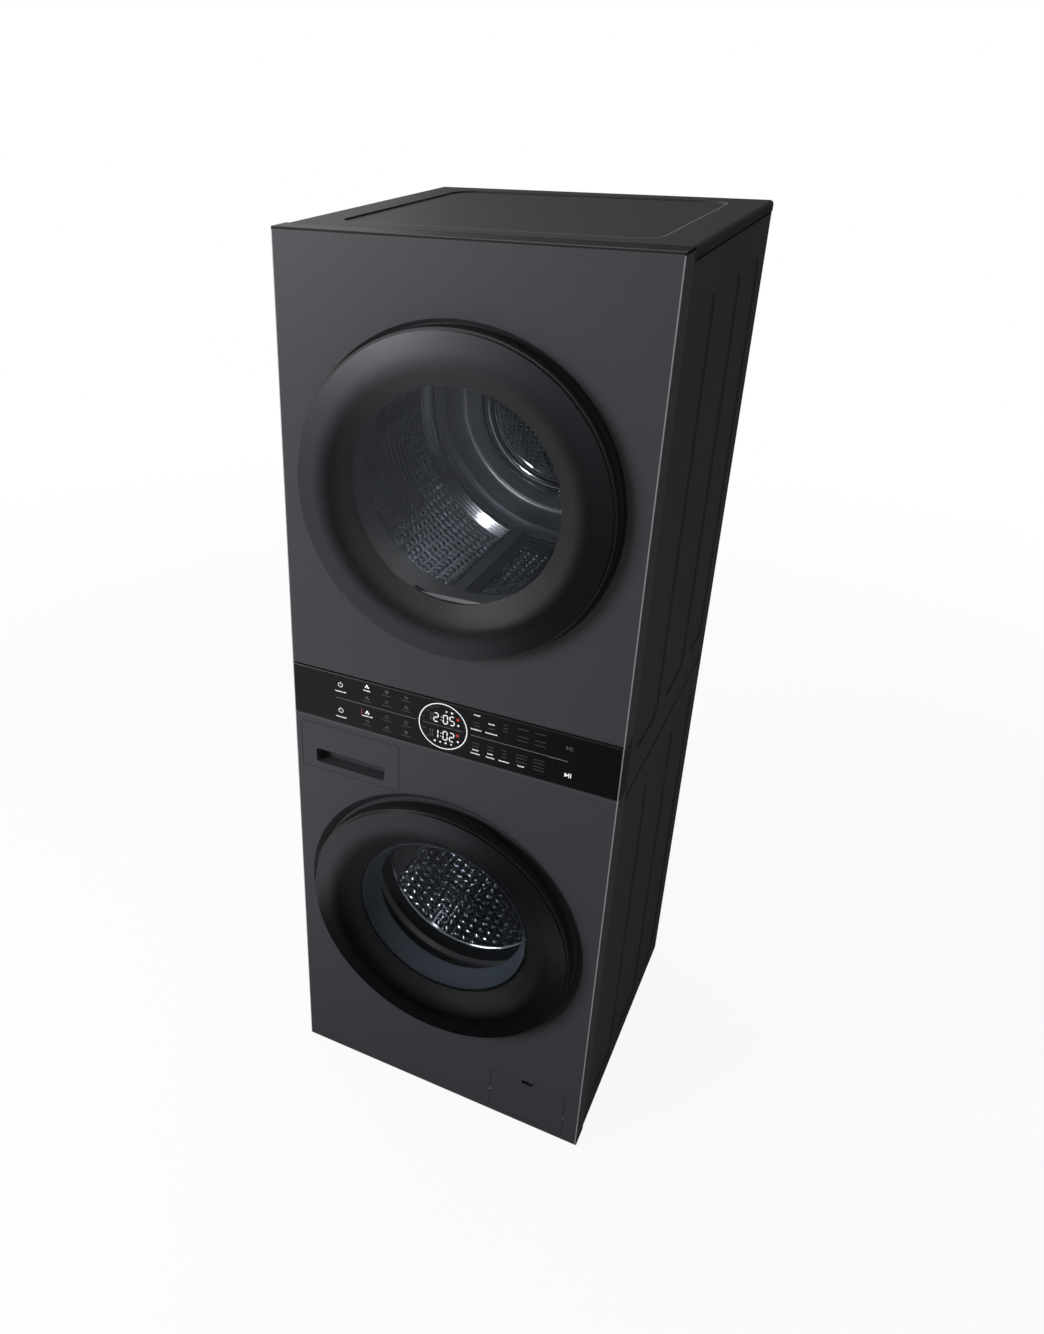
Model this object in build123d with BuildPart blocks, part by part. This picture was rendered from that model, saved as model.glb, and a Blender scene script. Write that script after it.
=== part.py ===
"""Stacked laundry tower: a front-loading washer below a heat-pump dryer in one body.

Axes: X to the right of someone facing the doors, Y from the doors to the back, Z up.
Origin: on the floor, at the middle of the tower's width and of its depth over all.
"""
from build123d import *
import math
import os

# ------------------------------------------------------------------ driving dimensions
# Envelope
WIDTH = 596.0
HEIGHT = 1655.0
CABINET_DEPTH = 591.0
DOOR_PROUD = 38.0
REAR_PROUD = 31.0
FOOT_GAP = 8.0

# Sheet metal and its joints
FACE_SHEET = 1.2
SIDE_SHEET = 1.0
PAN_RETURN = 44.0
PAN_CORNER = 4.0
SIDE_INSET = 1.0
PANEL_GAP = 0.5
FLANGE = 12.0
RIB_DEPTH = 3.0
RIB_RADIUS = 25.0
RIB_FRONT = 85.0
RIB_BACK = 49.0
RIB_SPACING = 47.0
REAR_RIB = 102.0
LOWER_RIB_ENDS = (42.0, 62.0)
UPPER_RIB_ENDS = (66.0, 64.0)
BASE_RISE = 6.0
BASE_SHEET = 2.0

# Heights of the two machines and of the touch panel between them
WASHER_Z = 463.0
BAND_MARGIN = 15.5
BAND_HEIGHT = 100.0
SEAM_DROP = 23.5
DRYER_RISE = 354.0
FASCIA_WALL = 3.0

# Top plate
SKIRT = 16.0
TOP_SHEET = 1.5
TOP_CORNER = 7.0
TOP_RECESS_MARGIN = 59.0
TOP_RECESS_FRONT = 88.0
TOP_RECESS_LENGTH = 456.0
TOP_RECESS_DEPTH = 3.0
TOP_RECESS_RADIUS = 34.0

# Doors
DOOR_R = 255.0
GLASS_LEDGE = 4.0
GLASS_THICK = 4.0
DOME_RISE = 9.0
WINDOW_R = 170.0
RING_WALL = 4.0
RING_LIP = 5.0
RING_TAPER = 6.0
DOOR_SEAT_GAP = 6.0
WASHER_DISH_MARGIN = 17.0
WASHER_DISH_DEPTH = 12.0
DRYER_DISH_MARGIN = 7.0
DRYER_DISH_DEPTH = 7.0
DISH_FLOOR_MARGIN = 3.0
PORT_R = 196.0
PORT_LIP = 8.0
BOWL_WALL = 5.0
BOWL_DEPTH = 74.0
BOWL_END_R = 138.0
WINDOW_DEPTH = 20.0
WINDOW_TAPER = 24.0

# Door hinges
HINGE_INSET = 11.0
HINGE_FORWARD = 11.0
HINGE_PIN_R = 3.0
HINGE_EAR_R = 6.0
HINGE_LUG_R = 7.0
EAR_NEAR = 30.0
EAR_THICK = 14.0
LUG_THICK = 20.0
HINGE_SLACK = 2.0
HINGE_PLATE = 3.0

# Door grip, hook and lock
GRIP_ARC = 69.0
GRIP_DEEP = 18.0
GRIP_WALL = 4.0
GRIP_HEIGHT = 14.0
HOOK_R = 211.0
HOOK_THICK = 6.0
HOOK_WIDTH = 14.0
HOOK_REACH = 31.0
HOOK_PIN_R = 2.0
HOOK_PIVOT_BACK = 9.5
HOOK_POCKET = 5.4
HOOK_BARB = 2.0
SLOT_SLACK = 5.0
LOCK_HEIGHT = 60.0
LOCK_DEPTH = 28.0
STRIKE_REACH = 14.0

# Washing tub, drum and drive
TUB_R = 262.0
TUB_WALL = 4.0
TUB_FRONT = 95.0
TUB_REAR_SPACE = 94.0
TUB_SPLIT = 177.0
TUB_FLANGE = 8.0
TUB_MOUTH_R = 178.0
TUB_LIP = 10.0
DRUM_CLEARANCE = 20.0
DRUM_WALL = 1.5
DRUM_MOUTH_R = 160.0
DRUM_FRONT_GAP = 22.0
DRUM_REAR_GAP = 31.0
DRUM_CORNER = 10.0
LIFTER_COUNT = 3
LIFTER_HEIGHT = 42.0
LIFTER_BASE = 78.0
LIFTER_TOP = 20.0
LIFTER_MARGIN = 30.0
WASHER_LIFTER_TURN = 90.0
SHAFT_R = 17.0
HUB_R = 46.0
HUB_GAP = 3.0
HUB_PROUD = 8.0
SPIDER_THICK = 14.0
SPIDER_ARM = 40.0
STATOR_R = 130.0
STATOR_BORE = 70.0
STATOR_LENGTH = 25.0
ROTOR_GAP = 6.0
ROTOR_WALL = 3.0
ROTOR_LENGTH = 44.0
GASKET_WALL = 3.0
GASKET_GAP = 0.5
WEIGHT_THICK = 35.0
WEIGHT_PORT_GAP = 8.0
WEIGHT_INSET = 6.0
WEIGHT_SPLIT = 70.0

# Suspension
SPRING_INSET = 17.0
SPRING_Y = 60.0
SPRING_R = 9.0
SPRING_WIRE = 2.0
SPRING_CLEARANCE = 11.5
LUG_HEIGHT = 16.0
LUG_WIDTH = 20.0
HANGER_DROP = 27.0
HANGER_THICK = 4.0
DAMPER_FOOT_X = 172.0
DAMPER_TOP_X = 128.0
DAMPER_R = 11.0
DAMPER_ROD_R = 6.0
DAMPER_FOOT_Z = 18.0

# Detergent drawer
DRAWER_MARGIN = 14.0
DRAWER_WIDTH = 196.0
DRAWER_HEIGHT = 95.0
DRAWER_DISH_GAP = 0.9
DRAWER_CORNER = 6.0
DRAWER_GAP = 1.0
DRAWER_FACE = 3.5
PULL_LEFT = 29.0
PULL_RIGHT = 28.0
PULL_RISE = 13.0
PULL_HEIGHT = 29.0
PULL_DEEP = 25.0
PULL_UNDERCUT = 11.0
PULL_WALL = 3.0
TRAY_WALL = 2.5
TRAY_INSET = 6.0
TRAY_LOW = 9.0
TRAY_HEIGHT = 60.0
TRAY_LENGTH = 244.0
TRAY_TUB_GAP = 8.0
TRAY_SPLITS = (0.3, 0.68)
HOUSING_GAP = 1.5
HOUSING_WALL = 2.5
MOUTH_RIM = 2.0
MOUTH_DEPTH = 6.8

# Filter flap and drain pump
FLAP_MARGIN = 32.0
FLAP_WIDTH = 149.0
FLAP_Z = 24.0
FLAP_HEIGHT = 104.0
FLAP_CORNER = 8.0
FLAP_FOOT_CORNER = 1.5
FLAP_THICK = 3.0
FLAP_GAP = 1.0
FLAP_SWING_GAP = 1.5
FLAP_AXIS_IN = 6.0
FLAP_AXIS_UP = 6.0
FLAP_PIN_R = 2.0
FLAP_PIN = 4.0
FLAP_CHEEK = 5.0
NOTCH_WIDTH = 23.0
NOTCH_DEPTH = 9.0
PUMP_INSET = 108.0
PUMP_Z = 76.0
PUMP_R = 33.0
PUMP_BACK = 22.0
PUMP_LENGTH = 130.0
PUMP_MOTOR_R = 28.0
PUMP_MOTOR = 60.0
FILTER_R = 25.0
FILTER_LENGTH = 80.0
CAP_R = 31.0
CAP_THICK = 6.0
CAP_GRIP = 8.0
CAP_GRIP_WIDTH = 10.0
CAP_GRIP_LENGTH = 49.6
OUTLET_WALL = 2.0
OUTLET_REACH = 4.0
HOSE_R = 14.0
HOSE_BEND = 9.8
HOSE_INSET = 52.0
HOSE_RISE = 34.0
SPIGOT_R = 11.0
SPIGOT_NECK_R = 10.0
SPIGOT_BORE = 8.0

# Water inlet and mains inlet
VALVE_INSETS = (98.0, 148.0)
VALVE_RISE = 46.0
VALVE_THREAD_R = 13.1
VALVE_NECK_R = 11.0
NECK_GAP = 1.0
VALVE_BORE = 8.0
VALVE_BODY = 42.0
VALVE_HOSE_R = 8.0
INLET_INSET = 68.0
INLET_RISE = 69.0
INLET_R = 12.0
INLET_FLANGE_R = 18.0
INLET_FLANGE = 4.0
INLET_PROUD = 16.0
INLET_BORE = 5.0

# Rear covers
COVER_SHEET = 1.2
COVER_RIM = 20.0
WASHER_COVER = (430.0, 470.0)
WASHER_COVER_PROUD = 8.0
DRYER_COVER = (480.0, 420.0)
DRYER_COVER_PROUD = 12.0
VENT_ROWS = 9
VENT_PITCH = 30.0
VENT_LENGTH = 120.0
VENT_WIDTH = 6.0

# Dryer drum, its bulkheads and its drive
DRYER_DRUM_R = 270.0
DRYER_LIFTER_TURN = -105.0
DRYER_DRUM_FRONT = 79.0
DRYER_DRUM_REAR = 71.0
COLLAR_R = 195.0
COLLAR_WALL = 3.0
COLLAR_OVERLAP = 8.0
DRUM_RUN_GAP = 0.4
BULKHEAD_THICK = 3.0
BULKHEAD_GAP = 6.0
BULKHEAD_LOW = 283.0
BULKHEAD_HIGH = 312.0
SIDE_FIT = 0.3
REAR_COLLAR = 18.0
REAR_GAP = 12.0
VENT_HOLE_R = 5.0
VENT_RING = 30.0
VENT_RINGS = 4
LINT_WIDTH = 156.0
LINT_THICK = 13.0
LINT_HEIGHT = 142.0
LINT_TOP = 184.0
LINT_FRONT = 30.0
LINT_SLACK = 0.4
LINT_FRAME = 8.0
WELL_WALL = 3.0
BELT_AHEAD = 40.0
BELT_WIDTH = 12.0
BELT_THICK = 2.0
RUN_GAP = 0.3
PULLEY_R = 10.0
PULLEY_LENGTH = 22.0
IDLER_R = 18.0
IDLER_LENGTH = 16.0
IDLER_GAP = 2.0
MOTOR_INSET = 118.0
MOTOR_RISE = 101.0
MOTOR_R = 48.0
MOTOR_LENGTH = 130.0
MOTOR_CRADLE = 76.8
MOTOR_CRADLE_INSET = 10.0
MOTOR_SHAFT_R = 6.0
SHAFT_PROUD = 2.0
WHEEL_R = 72.0
WHEEL_LENGTH = 50.0
BLADE_COUNT = 24
BLADE_LENGTH = 14.0
BLADE_THICK = 2.0
BLADE_ANGLE = 35.0
BLADE_INSET = 8.0
BLOWER_R = 84.0
BLOWER_WALL = 3.0
BLOWER_LENGTH = 72.0
BLOWER_REAR_GAP = 25.0
ROLLER_R = 30.0
ROLLER_ANGLE = 35.0
ROLLER_LENGTH = 25.0
ROLLER_PIN_R = 6.0
ROLLER_PIN_PROUD = 4.0
ROLLER_BACK = 20.0

# Heat pump
PUMP_BASE_MARGIN = 12.0
PUMP_BASE_HEIGHT = 38.0
PUMP_BASE_WALL = 3.0
COMPRESSOR_INSET = 123.0
COMPRESSOR_BACK = 129.0
COMPRESSOR_R = 62.0
COMPRESSOR_HEIGHT = 175.0
EXCHANGER_X = -100.0
EXCHANGER_WIDTH = 200.0
EXCHANGER_HEIGHT = 160.0
EXCHANGER_FRONT = 112.0
EXCHANGER_GAP = 15.0
EXCHANGER_BELT_GAP = 35.0
EVAPORATOR_SHARE = 7 / 15

# Touch panel electronics
HOUSING_BACK = 40.0
CONTROL_WALL = 2.5
CONTROL_MARGIN = 3.5
BOARD_X = -150.0
BOARD_WIDTH = 400.0
BOARD_HEIGHT = 70.0
BOARD_THICK = 1.6
BOARD_GAP = 8.0
POST_R = 4.0

# Levelling feet
FOOT_INSET = 43.0
FOOT_FRONT = 77.0
FOOT_REAR = 34.0
FOOT_PAD_R = 20.0
FOOT_PAD = 8.0
FOOT_CHAMFER = 2.0
FOOT_STEM_R = 5.0
FOOT_TRAVEL = 20.0
FOOT_BOSS_R = 12.0
FOOT_BOSS = 20.0
FOOT_STOP_GAP = 0.3

# Fit of each running pair, and how far a cut passes a face or a boss enters one
RUNNING_FIT = 0.05
PAST = 1.0

# ------------------------------------------------------------------ derived places
HALF_WIDTH = WIDTH / 2
FRONT_Y = DOOR_PROUD - (DOOR_PROUD + CABINET_DEPTH + REAR_PROUD) / 2
BACK_Y = FRONT_Y + CABINET_DEPTH
REAR_Y = BACK_Y + REAR_PROUD
CABINET_Y = FRONT_Y + PAN_RETURN + PANEL_GAP
CABINET_X = HALF_WIDTH - SIDE_INSET
CABINET_Z = FOOT_GAP + BASE_RISE
BASE_Z = CABINET_Z - BASE_SHEET
TOP_Z = HEIGHT - SKIRT
DRAWER_X = DRAWER_MARGIN - HALF_WIDTH
DRAWER_RIGHT = DRAWER_X + DRAWER_WIDTH
WASHER_DISH_R = DOOR_R + WASHER_DISH_MARGIN
DRYER_DISH_R = DOOR_R + DRYER_DISH_MARGIN
# The drawer lies just above the tub and clears the dish round the door
drawer_over_tub = TUB_R + TRAY_TUB_GAP - TRAY_LOW
dish_reach = WASHER_DISH_R + FACE_SHEET + DRAWER_DISH_GAP
drawer_over_dish = math.sqrt(dish_reach ** 2 - (DRAWER_RIGHT + DRAWER_GAP) ** 2) + DRAWER_GAP
DRAWER_Z = WASHER_Z + max(drawer_over_tub, drawer_over_dish)
BAND_Z = DRAWER_Z + DRAWER_HEIGHT + BAND_MARGIN
BAND_TOP = BAND_Z + BAND_HEIGHT
SEAM_Z = BAND_Z - SEAM_DROP
DRYER_Z = BAND_TOP + DRYER_RISE
FACE_BACK = FRONT_Y + FACE_SHEET
RIM_Y = FRONT_Y - DOOR_PROUD + DOME_RISE
GLASS_BACK = RIM_Y + GLASS_THICK
GLASS_R = DOOR_R - GLASS_LEDGE
HINGE_X = HINGE_INSET - DOOR_R
HINGE_Y = FRONT_Y - HINGE_FORWARD
TUB_Y = FRONT_Y + TUB_FRONT
TUB_BACK = BACK_Y - TUB_REAR_SPACE
DRUM_R = TUB_R - TUB_WALL - DRUM_CLEARANCE
DRUM_Y = TUB_Y + DRUM_FRONT_GAP + TUB_WALL
DRUM_BACK = TUB_BACK - DRUM_REAR_GAP
WEIGHT_R = TUB_R - WEIGHT_INSET
WEIGHT_BORE = PORT_R + WEIGHT_PORT_GAP
SUSPENSION_Y = FRONT_Y + CABINET_DEPTH / 2 + SPRING_Y
SPRING_X = TUB_R - SPRING_INSET
HANGER_Z = SEAM_Z - HANGER_DROP
FLAP_X = HALF_WIDTH - FLAP_MARGIN - FLAP_WIDTH
PUMP_X = HALF_WIDTH - PUMP_INSET
HOSE_X = HALF_WIDTH - HOSE_INSET
HOSE_Z = PUMP_Z + HOSE_RISE
VALVE_X = tuple(inset - HALF_WIDTH for inset in VALVE_INSETS)
VALVE_Z = DRAWER_Z + VALVE_RISE
NECK_END = BACK_Y + NECK_GAP
INLET_X = HALF_WIDTH - INLET_INSET
INLET_Z = SEAM_Z + INLET_RISE
DRYER_DRUM_Y = FRONT_Y + DRYER_DRUM_FRONT
DRYER_DRUM_BACK = BACK_Y - DRYER_DRUM_REAR
MOTOR_X = MOTOR_INSET - HALF_WIDTH
MOTOR_Z = SEAM_Z + MOTOR_RISE
BLOWER_Y = BACK_Y - BLOWER_REAR_GAP - BLOWER_LENGTH
MOTOR_Y = BLOWER_Y - BLOWER_WALL * 4 - MOTOR_LENGTH
BELT_CENTRE = MOTOR_Y - BELT_AHEAD
FOOT_X = HALF_WIDTH - FOOT_INSET
DRYER_FLOOR = SEAM_Z + SIDE_SHEET + PUMP_BASE_WALL


# ------------------------------------------------------------------ shared operations
def block(x_low, x_high, y_low, y_high, z_low, z_high, mode=Mode.ADD):
    """Rectangular block between two limits on each axis."""
    middle = ((x_low + x_high) / 2, (y_low + y_high) / 2, (z_low + z_high) / 2)
    with Locations(middle):
        Box(x_high - x_low, y_high - y_low, z_high - z_low, mode=mode)


def rod(start, end, radius, mode=Mode.ADD):
    """Round bar, or round hole, from one point to another."""
    direction = Vector(*end) - Vector(*start)
    with BuildSketch(Plane(origin=start, z_dir=direction)) as section:
        Circle(radius)
    extrude(section.sketch, amount=direction.length, mode=mode)


def facing_plate(x_low, x_high, z_low, z_high, y_low, y_high, corner, mode=Mode.ADD):
    """Upright plate seen from the front as a rectangle with round corners."""
    with BuildSketch(Plane.XZ.offset(-y_high)) as outline:
        with Locations(((x_low + x_high) / 2, (z_low + z_high) / 2)):
            RectangleRounded(x_high - x_low, z_high - z_low, corner)
    extrude(outline.sketch, amount=y_high - y_low, mode=mode)


def flap_plate(grow, low_gap, y_low, y_high, mode=Mode.ADD):
    """Upright plate with round upper corners and nearly square lower ones."""
    width = FLAP_WIDTH + 2 * grow
    low = FLAP_Z - low_gap
    high = FLAP_Z + FLAP_HEIGHT + grow
    with BuildSketch(Plane.XZ.offset(-y_high)) as outline:
        with Locations((FLAP_X + FLAP_WIDTH / 2, (low + high) / 2)):
            Rectangle(width, high - low)
        fillet(outline.vertices().group_by(Axis.Y)[-1], FLAP_CORNER + grow)
        fillet(outline.vertices().group_by(Axis.Y)[0], FLAP_FOOT_CORNER)
    extrude(outline.sketch, amount=y_high - y_low, mode=mode)


def turn(height, corners, mode=Mode.ADD):
    """Solid of revolution about the Y axis at a height, from (radius, Y) corners."""
    with BuildSketch(Plane.XY.offset(height)) as section:
        with BuildLine():
            Polyline(*corners, close=True)
        make_face()
    revolve(section.sketch, axis=Axis((0, 0, height), (0, 1, 0)), mode=mode)


def sweep_arc(height, corners, arc, mode=Mode.ADD):
    """Part turn of (radius, Y) corners, from the right-hand side up and over."""
    with BuildSketch(Plane.XY.offset(height)) as section:
        with BuildLine():
            Polyline(*corners, close=True)
        make_face()
    axis = Axis((0, 0, height), (0, -1, 0))
    revolve(section.sketch, axis=axis, revolution_arc=arc, mode=mode)


def sheet_outline(path, wall):
    """Closed outline of a sheet of one thickness whose middle follows a path."""
    points = [Vector(*point) for point in path]
    runs = [(b - a).normalized() for a, b in zip(points, points[1:])]
    normals = [Vector(-run.Y, run.X) for run in runs]
    mitres = [normals[0]]
    for before, after in zip(normals, normals[1:]):
        mitres.append((before + after) / (1 + before.dot(after)))
    mitres.append(normals[-1])
    one_side = [point + mitre * (wall / 2) for point, mitre in zip(points, mitres)]
    other_side = [point - mitre * (wall / 2) for point, mitre in zip(points, mitres)]
    return [(corner.X, corner.Y) for corner in one_side + other_side[::-1]]


def front_pan(z_low, z_high, wall):
    """Pressed pan: a face with a return along each edge, open at the back."""
    block(-HALF_WIDTH, HALF_WIDTH, FRONT_Y, FRONT_Y + PAN_RETURN, z_low, z_high)
    fillet(faces().sort_by(Axis.Y)[0].edges(), PAN_CORNER)
    offset(amount=-wall, openings=faces().sort_by(Axis.Y)[-1])


def door_dish(height, radius, depth):
    """Round opening in a front panel with the shallow dish that the door closes into."""
    middle = FRONT_Y + FACE_SHEET / 2
    floor = middle + depth
    floor_r = DOOR_R + DISH_FLOOR_MARGIN if radius > DOOR_R + depth else DOOR_R
    turn(height, [(0, FRONT_Y - PAST), (radius, FRONT_Y - PAST), (radius, FACE_BACK + PAST),
                  (0, FACE_BACK + PAST)], mode=Mode.SUBTRACT)
    path = [(radius + FACE_SHEET, middle), (radius, middle), (floor_r, floor),
            (PORT_R, floor), (PORT_R, floor + PORT_LIP)]
    turn(height, sheet_outline(path, FACE_SHEET))


def cabinet_shell(z_low, z_high):
    """Folded sheet sides and back with a narrow flange round each open end."""
    block(-CABINET_X, CABINET_X, CABINET_Y, BACK_Y, z_low, z_high)
    wall = SIDE_SHEET
    block(wall - CABINET_X, CABINET_X - wall, CABINET_Y + wall, BACK_Y - wall,
          z_low + wall, z_high - wall, mode=Mode.SUBTRACT)
    block(FLANGE - CABINET_X, CABINET_X - FLANGE, CABINET_Y - wall, CABINET_Y + 2 * wall,
          z_low + FLANGE, z_high - FLANGE, mode=Mode.SUBTRACT)
    block(FLANGE - CABINET_X, CABINET_X - FLANGE, CABINET_Y + FLANGE, BACK_Y - FLANGE,
          z_low - wall, z_high + wall, mode=Mode.SUBTRACT)


def side_ribs(spans, z_low, z_high):
    """Shallow rectangles pressed into both sides, each rib between two Y limits."""
    for side in (-1, 1):
        outer = Plane(origin=(side * CABINET_X, 0, 0), x_dir=(0, side, 0), z_dir=(side, 0, 0))
        for y_low, y_high in spans:
            middle = (side * (y_low + y_high) / 2, (z_low + z_high) / 2)
            size = (y_high - y_low, z_high - z_low)
            with BuildSketch(outer.offset(-SIDE_SHEET)) as boss:
                with Locations(middle):
                    RectangleRounded(*size, RIB_RADIUS)
            extrude(boss.sketch, amount=-RIB_DEPTH)
            with BuildSketch(outer) as pocket:
                with Locations(middle):
                    RectangleRounded(size[0] - 2 * SIDE_SHEET, size[1] - 2 * SIDE_SHEET,
                                     RIB_RADIUS - SIDE_SHEET)
            extrude(pocket.sketch, amount=-RIB_DEPTH, mode=Mode.SUBTRACT)


def door_ring(height, dish_depth):
    """Hollow door frame: an outer wall, a back wall and a cone behind the glass."""
    back = FRONT_Y + FACE_SHEET / 2 + dish_depth - DOOR_SEAT_GAP
    lip = back - RING_LIP
    slope = (GLASS_BACK - lip) / (GLASS_R - WINDOW_R)
    turn(height, [(DOOR_R, GLASS_BACK), (DOOR_R, back - RING_TAPER),
                  (DOOR_R - RING_TAPER, back), (WINDOW_R, back), (WINDOW_R, lip),
                  (GLASS_R, GLASS_BACK)])
    roof = lip + RING_WALL * math.hypot(1, slope)
    cavity_r = GLASS_R - RING_TAPER
    floor = back - RING_WALL
    near_r = WINDOW_R + (floor - roof) / slope
    turn(height, [(near_r, floor), (cavity_r, floor),
                  (cavity_r, roof + slope * (cavity_r - WINDOW_R))], mode=Mode.SUBTRACT)
    # Finger grip scooped into the rim, walled off from the hollow of the frame
    grip_r = DOOR_R - GRIP_DEEP
    grip_front = back - GRIP_HEIGHT
    sweep_arc(height, [(grip_r - GRIP_WALL, grip_front - GRIP_WALL),
                       (DOOR_R - PAST, grip_front - GRIP_WALL), (DOOR_R - PAST, back - RING_TAPER),
                       (DOOR_R - RING_TAPER, back), (grip_r - GRIP_WALL, back)], GRIP_ARC)
    sweep_arc(height, [(grip_r, grip_front), (DOOR_R + PAST, grip_front), (DOOR_R + PAST, back + PAST),
                       (grip_r, back + PAST)], GRIP_ARC, mode=Mode.SUBTRACT)
    # Hinge pocket at the left edge, open to the back and side, with a lug at each end
    lug_near = EAR_NEAR + EAR_THICK + HINGE_SLACK
    lug_far = lug_near + LUG_THICK
    pocket_x = HINGE_X + HINGE_EAR_R + FACE_SHEET + HINGE_SLACK * 2
    block(-DOOR_R - PAST, pocket_x, GLASS_BACK, back + PAST, height - lug_far - HINGE_SLACK,
          height + lug_far + HINGE_SLACK, mode=Mode.SUBTRACT)
    for side in (-1, 1):
        near, far = sorted((height + side * lug_near, height + side * lug_far))
        rod((HINGE_X, HINGE_Y, near), (HINGE_X, HINGE_Y, far), HINGE_LUG_R)
        block(HINGE_X, pocket_x + RING_WALL, HINGE_Y - HINGE_LUG_R, back, near, far)
    reach = lug_far + HINGE_SLACK
    rod((HINGE_X, HINGE_Y, height - reach), (HINGE_X, HINGE_Y, height + reach),
        HINGE_PIN_R + RUNNING_FIT, mode=Mode.SUBTRACT)


def door_glass(height):
    """Outer glass: a shallow dome over the whole face of the door."""
    apex = RIM_Y - DOME_RISE
    curve = (GLASS_R ** 2 + DOME_RISE ** 2) / (2 * DOME_RISE)
    turn(height, [(0, apex - PAST), (GLASS_R, apex - PAST), (GLASS_R, GLASS_BACK), (0, GLASS_BACK)])
    with Locations((0, apex + curve, height)):
        Sphere(curve, mode=Mode.INTERSECT)
    with Locations((0, apex + GLASS_THICK + curve, height)):
        Sphere(curve, mode=Mode.SUBTRACT)


def door_liner(height, dish_depth, end_r, depth):
    """Inner glass: a straight rim held by the frame, a cone and a flat end."""
    back = FRONT_Y + FACE_SHEET / 2 + dish_depth - DOOR_SEAT_GAP
    rim_r = WINDOW_R - SIDE_FIT - BOWL_WALL / 2
    end_y = back + depth
    path = [(rim_r, back - RING_LIP), (rim_r, back), (end_r, end_y), (0, end_y)]
    turn(height, sheet_outline(path, BOWL_WALL))


def hinge_slots(height, dish_depth):
    """Slots in the floor of the dish for the ears of the hinge."""
    floor = FRONT_Y + dish_depth
    for side in (-1, 1):
        near, far = sorted((height + side * EAR_NEAR, height + side * (EAR_NEAR + EAR_THICK)))
        block(HINGE_X - HINGE_EAR_R - PAST, HINGE_X + HINGE_EAR_R + PAST, floor - PAST,
              floor + FACE_SHEET + PAST, near - PAST, far + PAST, mode=Mode.SUBTRACT)


def hinge_bracket(height, dish_depth):
    """Plate behind the panel with two ears through it and the pin that they hold."""
    plate = FRONT_Y + dish_depth + FACE_SHEET
    inner = HINGE_X + 4 * HINGE_EAR_R
    reach = EAR_NEAR + EAR_THICK
    block(HINGE_X - HINGE_EAR_R, inner, plate, plate + HINGE_PLATE, height - reach - HINGE_LUG_R,
          height + reach + HINGE_LUG_R)
    for side in (-1, 1):
        near, far = sorted((height + side * EAR_NEAR, height + side * reach))
        rod((HINGE_X, HINGE_Y, near), (HINGE_X, HINGE_Y, far), HINGE_EAR_R)
        block(HINGE_X - HINGE_EAR_R, HINGE_X + HINGE_EAR_R, HINGE_Y, plate, near, far)
    pin = reach + HINGE_SLACK + LUG_THICK
    rod((HINGE_X, HINGE_Y, height - pin), (HINGE_X, HINGE_Y, height + pin), HINGE_PIN_R)


def drum_lifters(height, radius, y_low, y_high, first_turn):
    """Tapered paddles along the inside of a drum, evenly spaced round it from the first."""
    inner = radius - LIFTER_HEIGHT
    half_base = LIFTER_BASE / 2
    half_top = LIFTER_TOP / 2
    with BuildSketch(Plane.XZ.offset(-y_high)) as section:
        with Locations((0, height)):
            with PolarLocations(0, LIFTER_COUNT, start_angle=first_turn):
                with Locations((inner + LIFTER_HEIGHT / 2, 0)):
                    Polygon((LIFTER_HEIGHT, -half_base), (LIFTER_HEIGHT, half_base),
                            (0, half_top), (0, -half_top))
    extrude(section.sketch, amount=y_high - y_low)
    turn(height, [(0, y_low), (radius, y_low), (radius, y_high), (0, y_high)],
         mode=Mode.INTERSECT)


def rear_cover(height, size, proud):
    """Screwed-on cover with a flat rim and a raised middle."""
    half_x = size[0] / 2
    half_z = size[1] / 2
    facing_plate(-half_x, half_x, height - half_z, height + half_z, BACK_Y,
                 BACK_Y + COVER_SHEET, RIB_RADIUS)
    inner_x = half_x - COVER_RIM
    inner_z = half_z - COVER_RIM
    facing_plate(-inner_x, inner_x, height - inner_z, height + inner_z, BACK_Y,
                 BACK_Y + proud, RIB_RADIUS)
    sheet = COVER_SHEET
    facing_plate(sheet - inner_x, inner_x - sheet, height - inner_z + sheet,
                 height + inner_z - sheet, BACK_Y - PAST, BACK_Y + proud - sheet,
                 RIB_RADIUS - sheet, mode=Mode.SUBTRACT)


os.makedirs("parts", exist_ok=True)


def finish(builder, name):
    """Label a finished piece and write it as one STEP file."""
    builder.part.label = name
    export_step(builder.part, f"parts/{name}.step")


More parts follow.
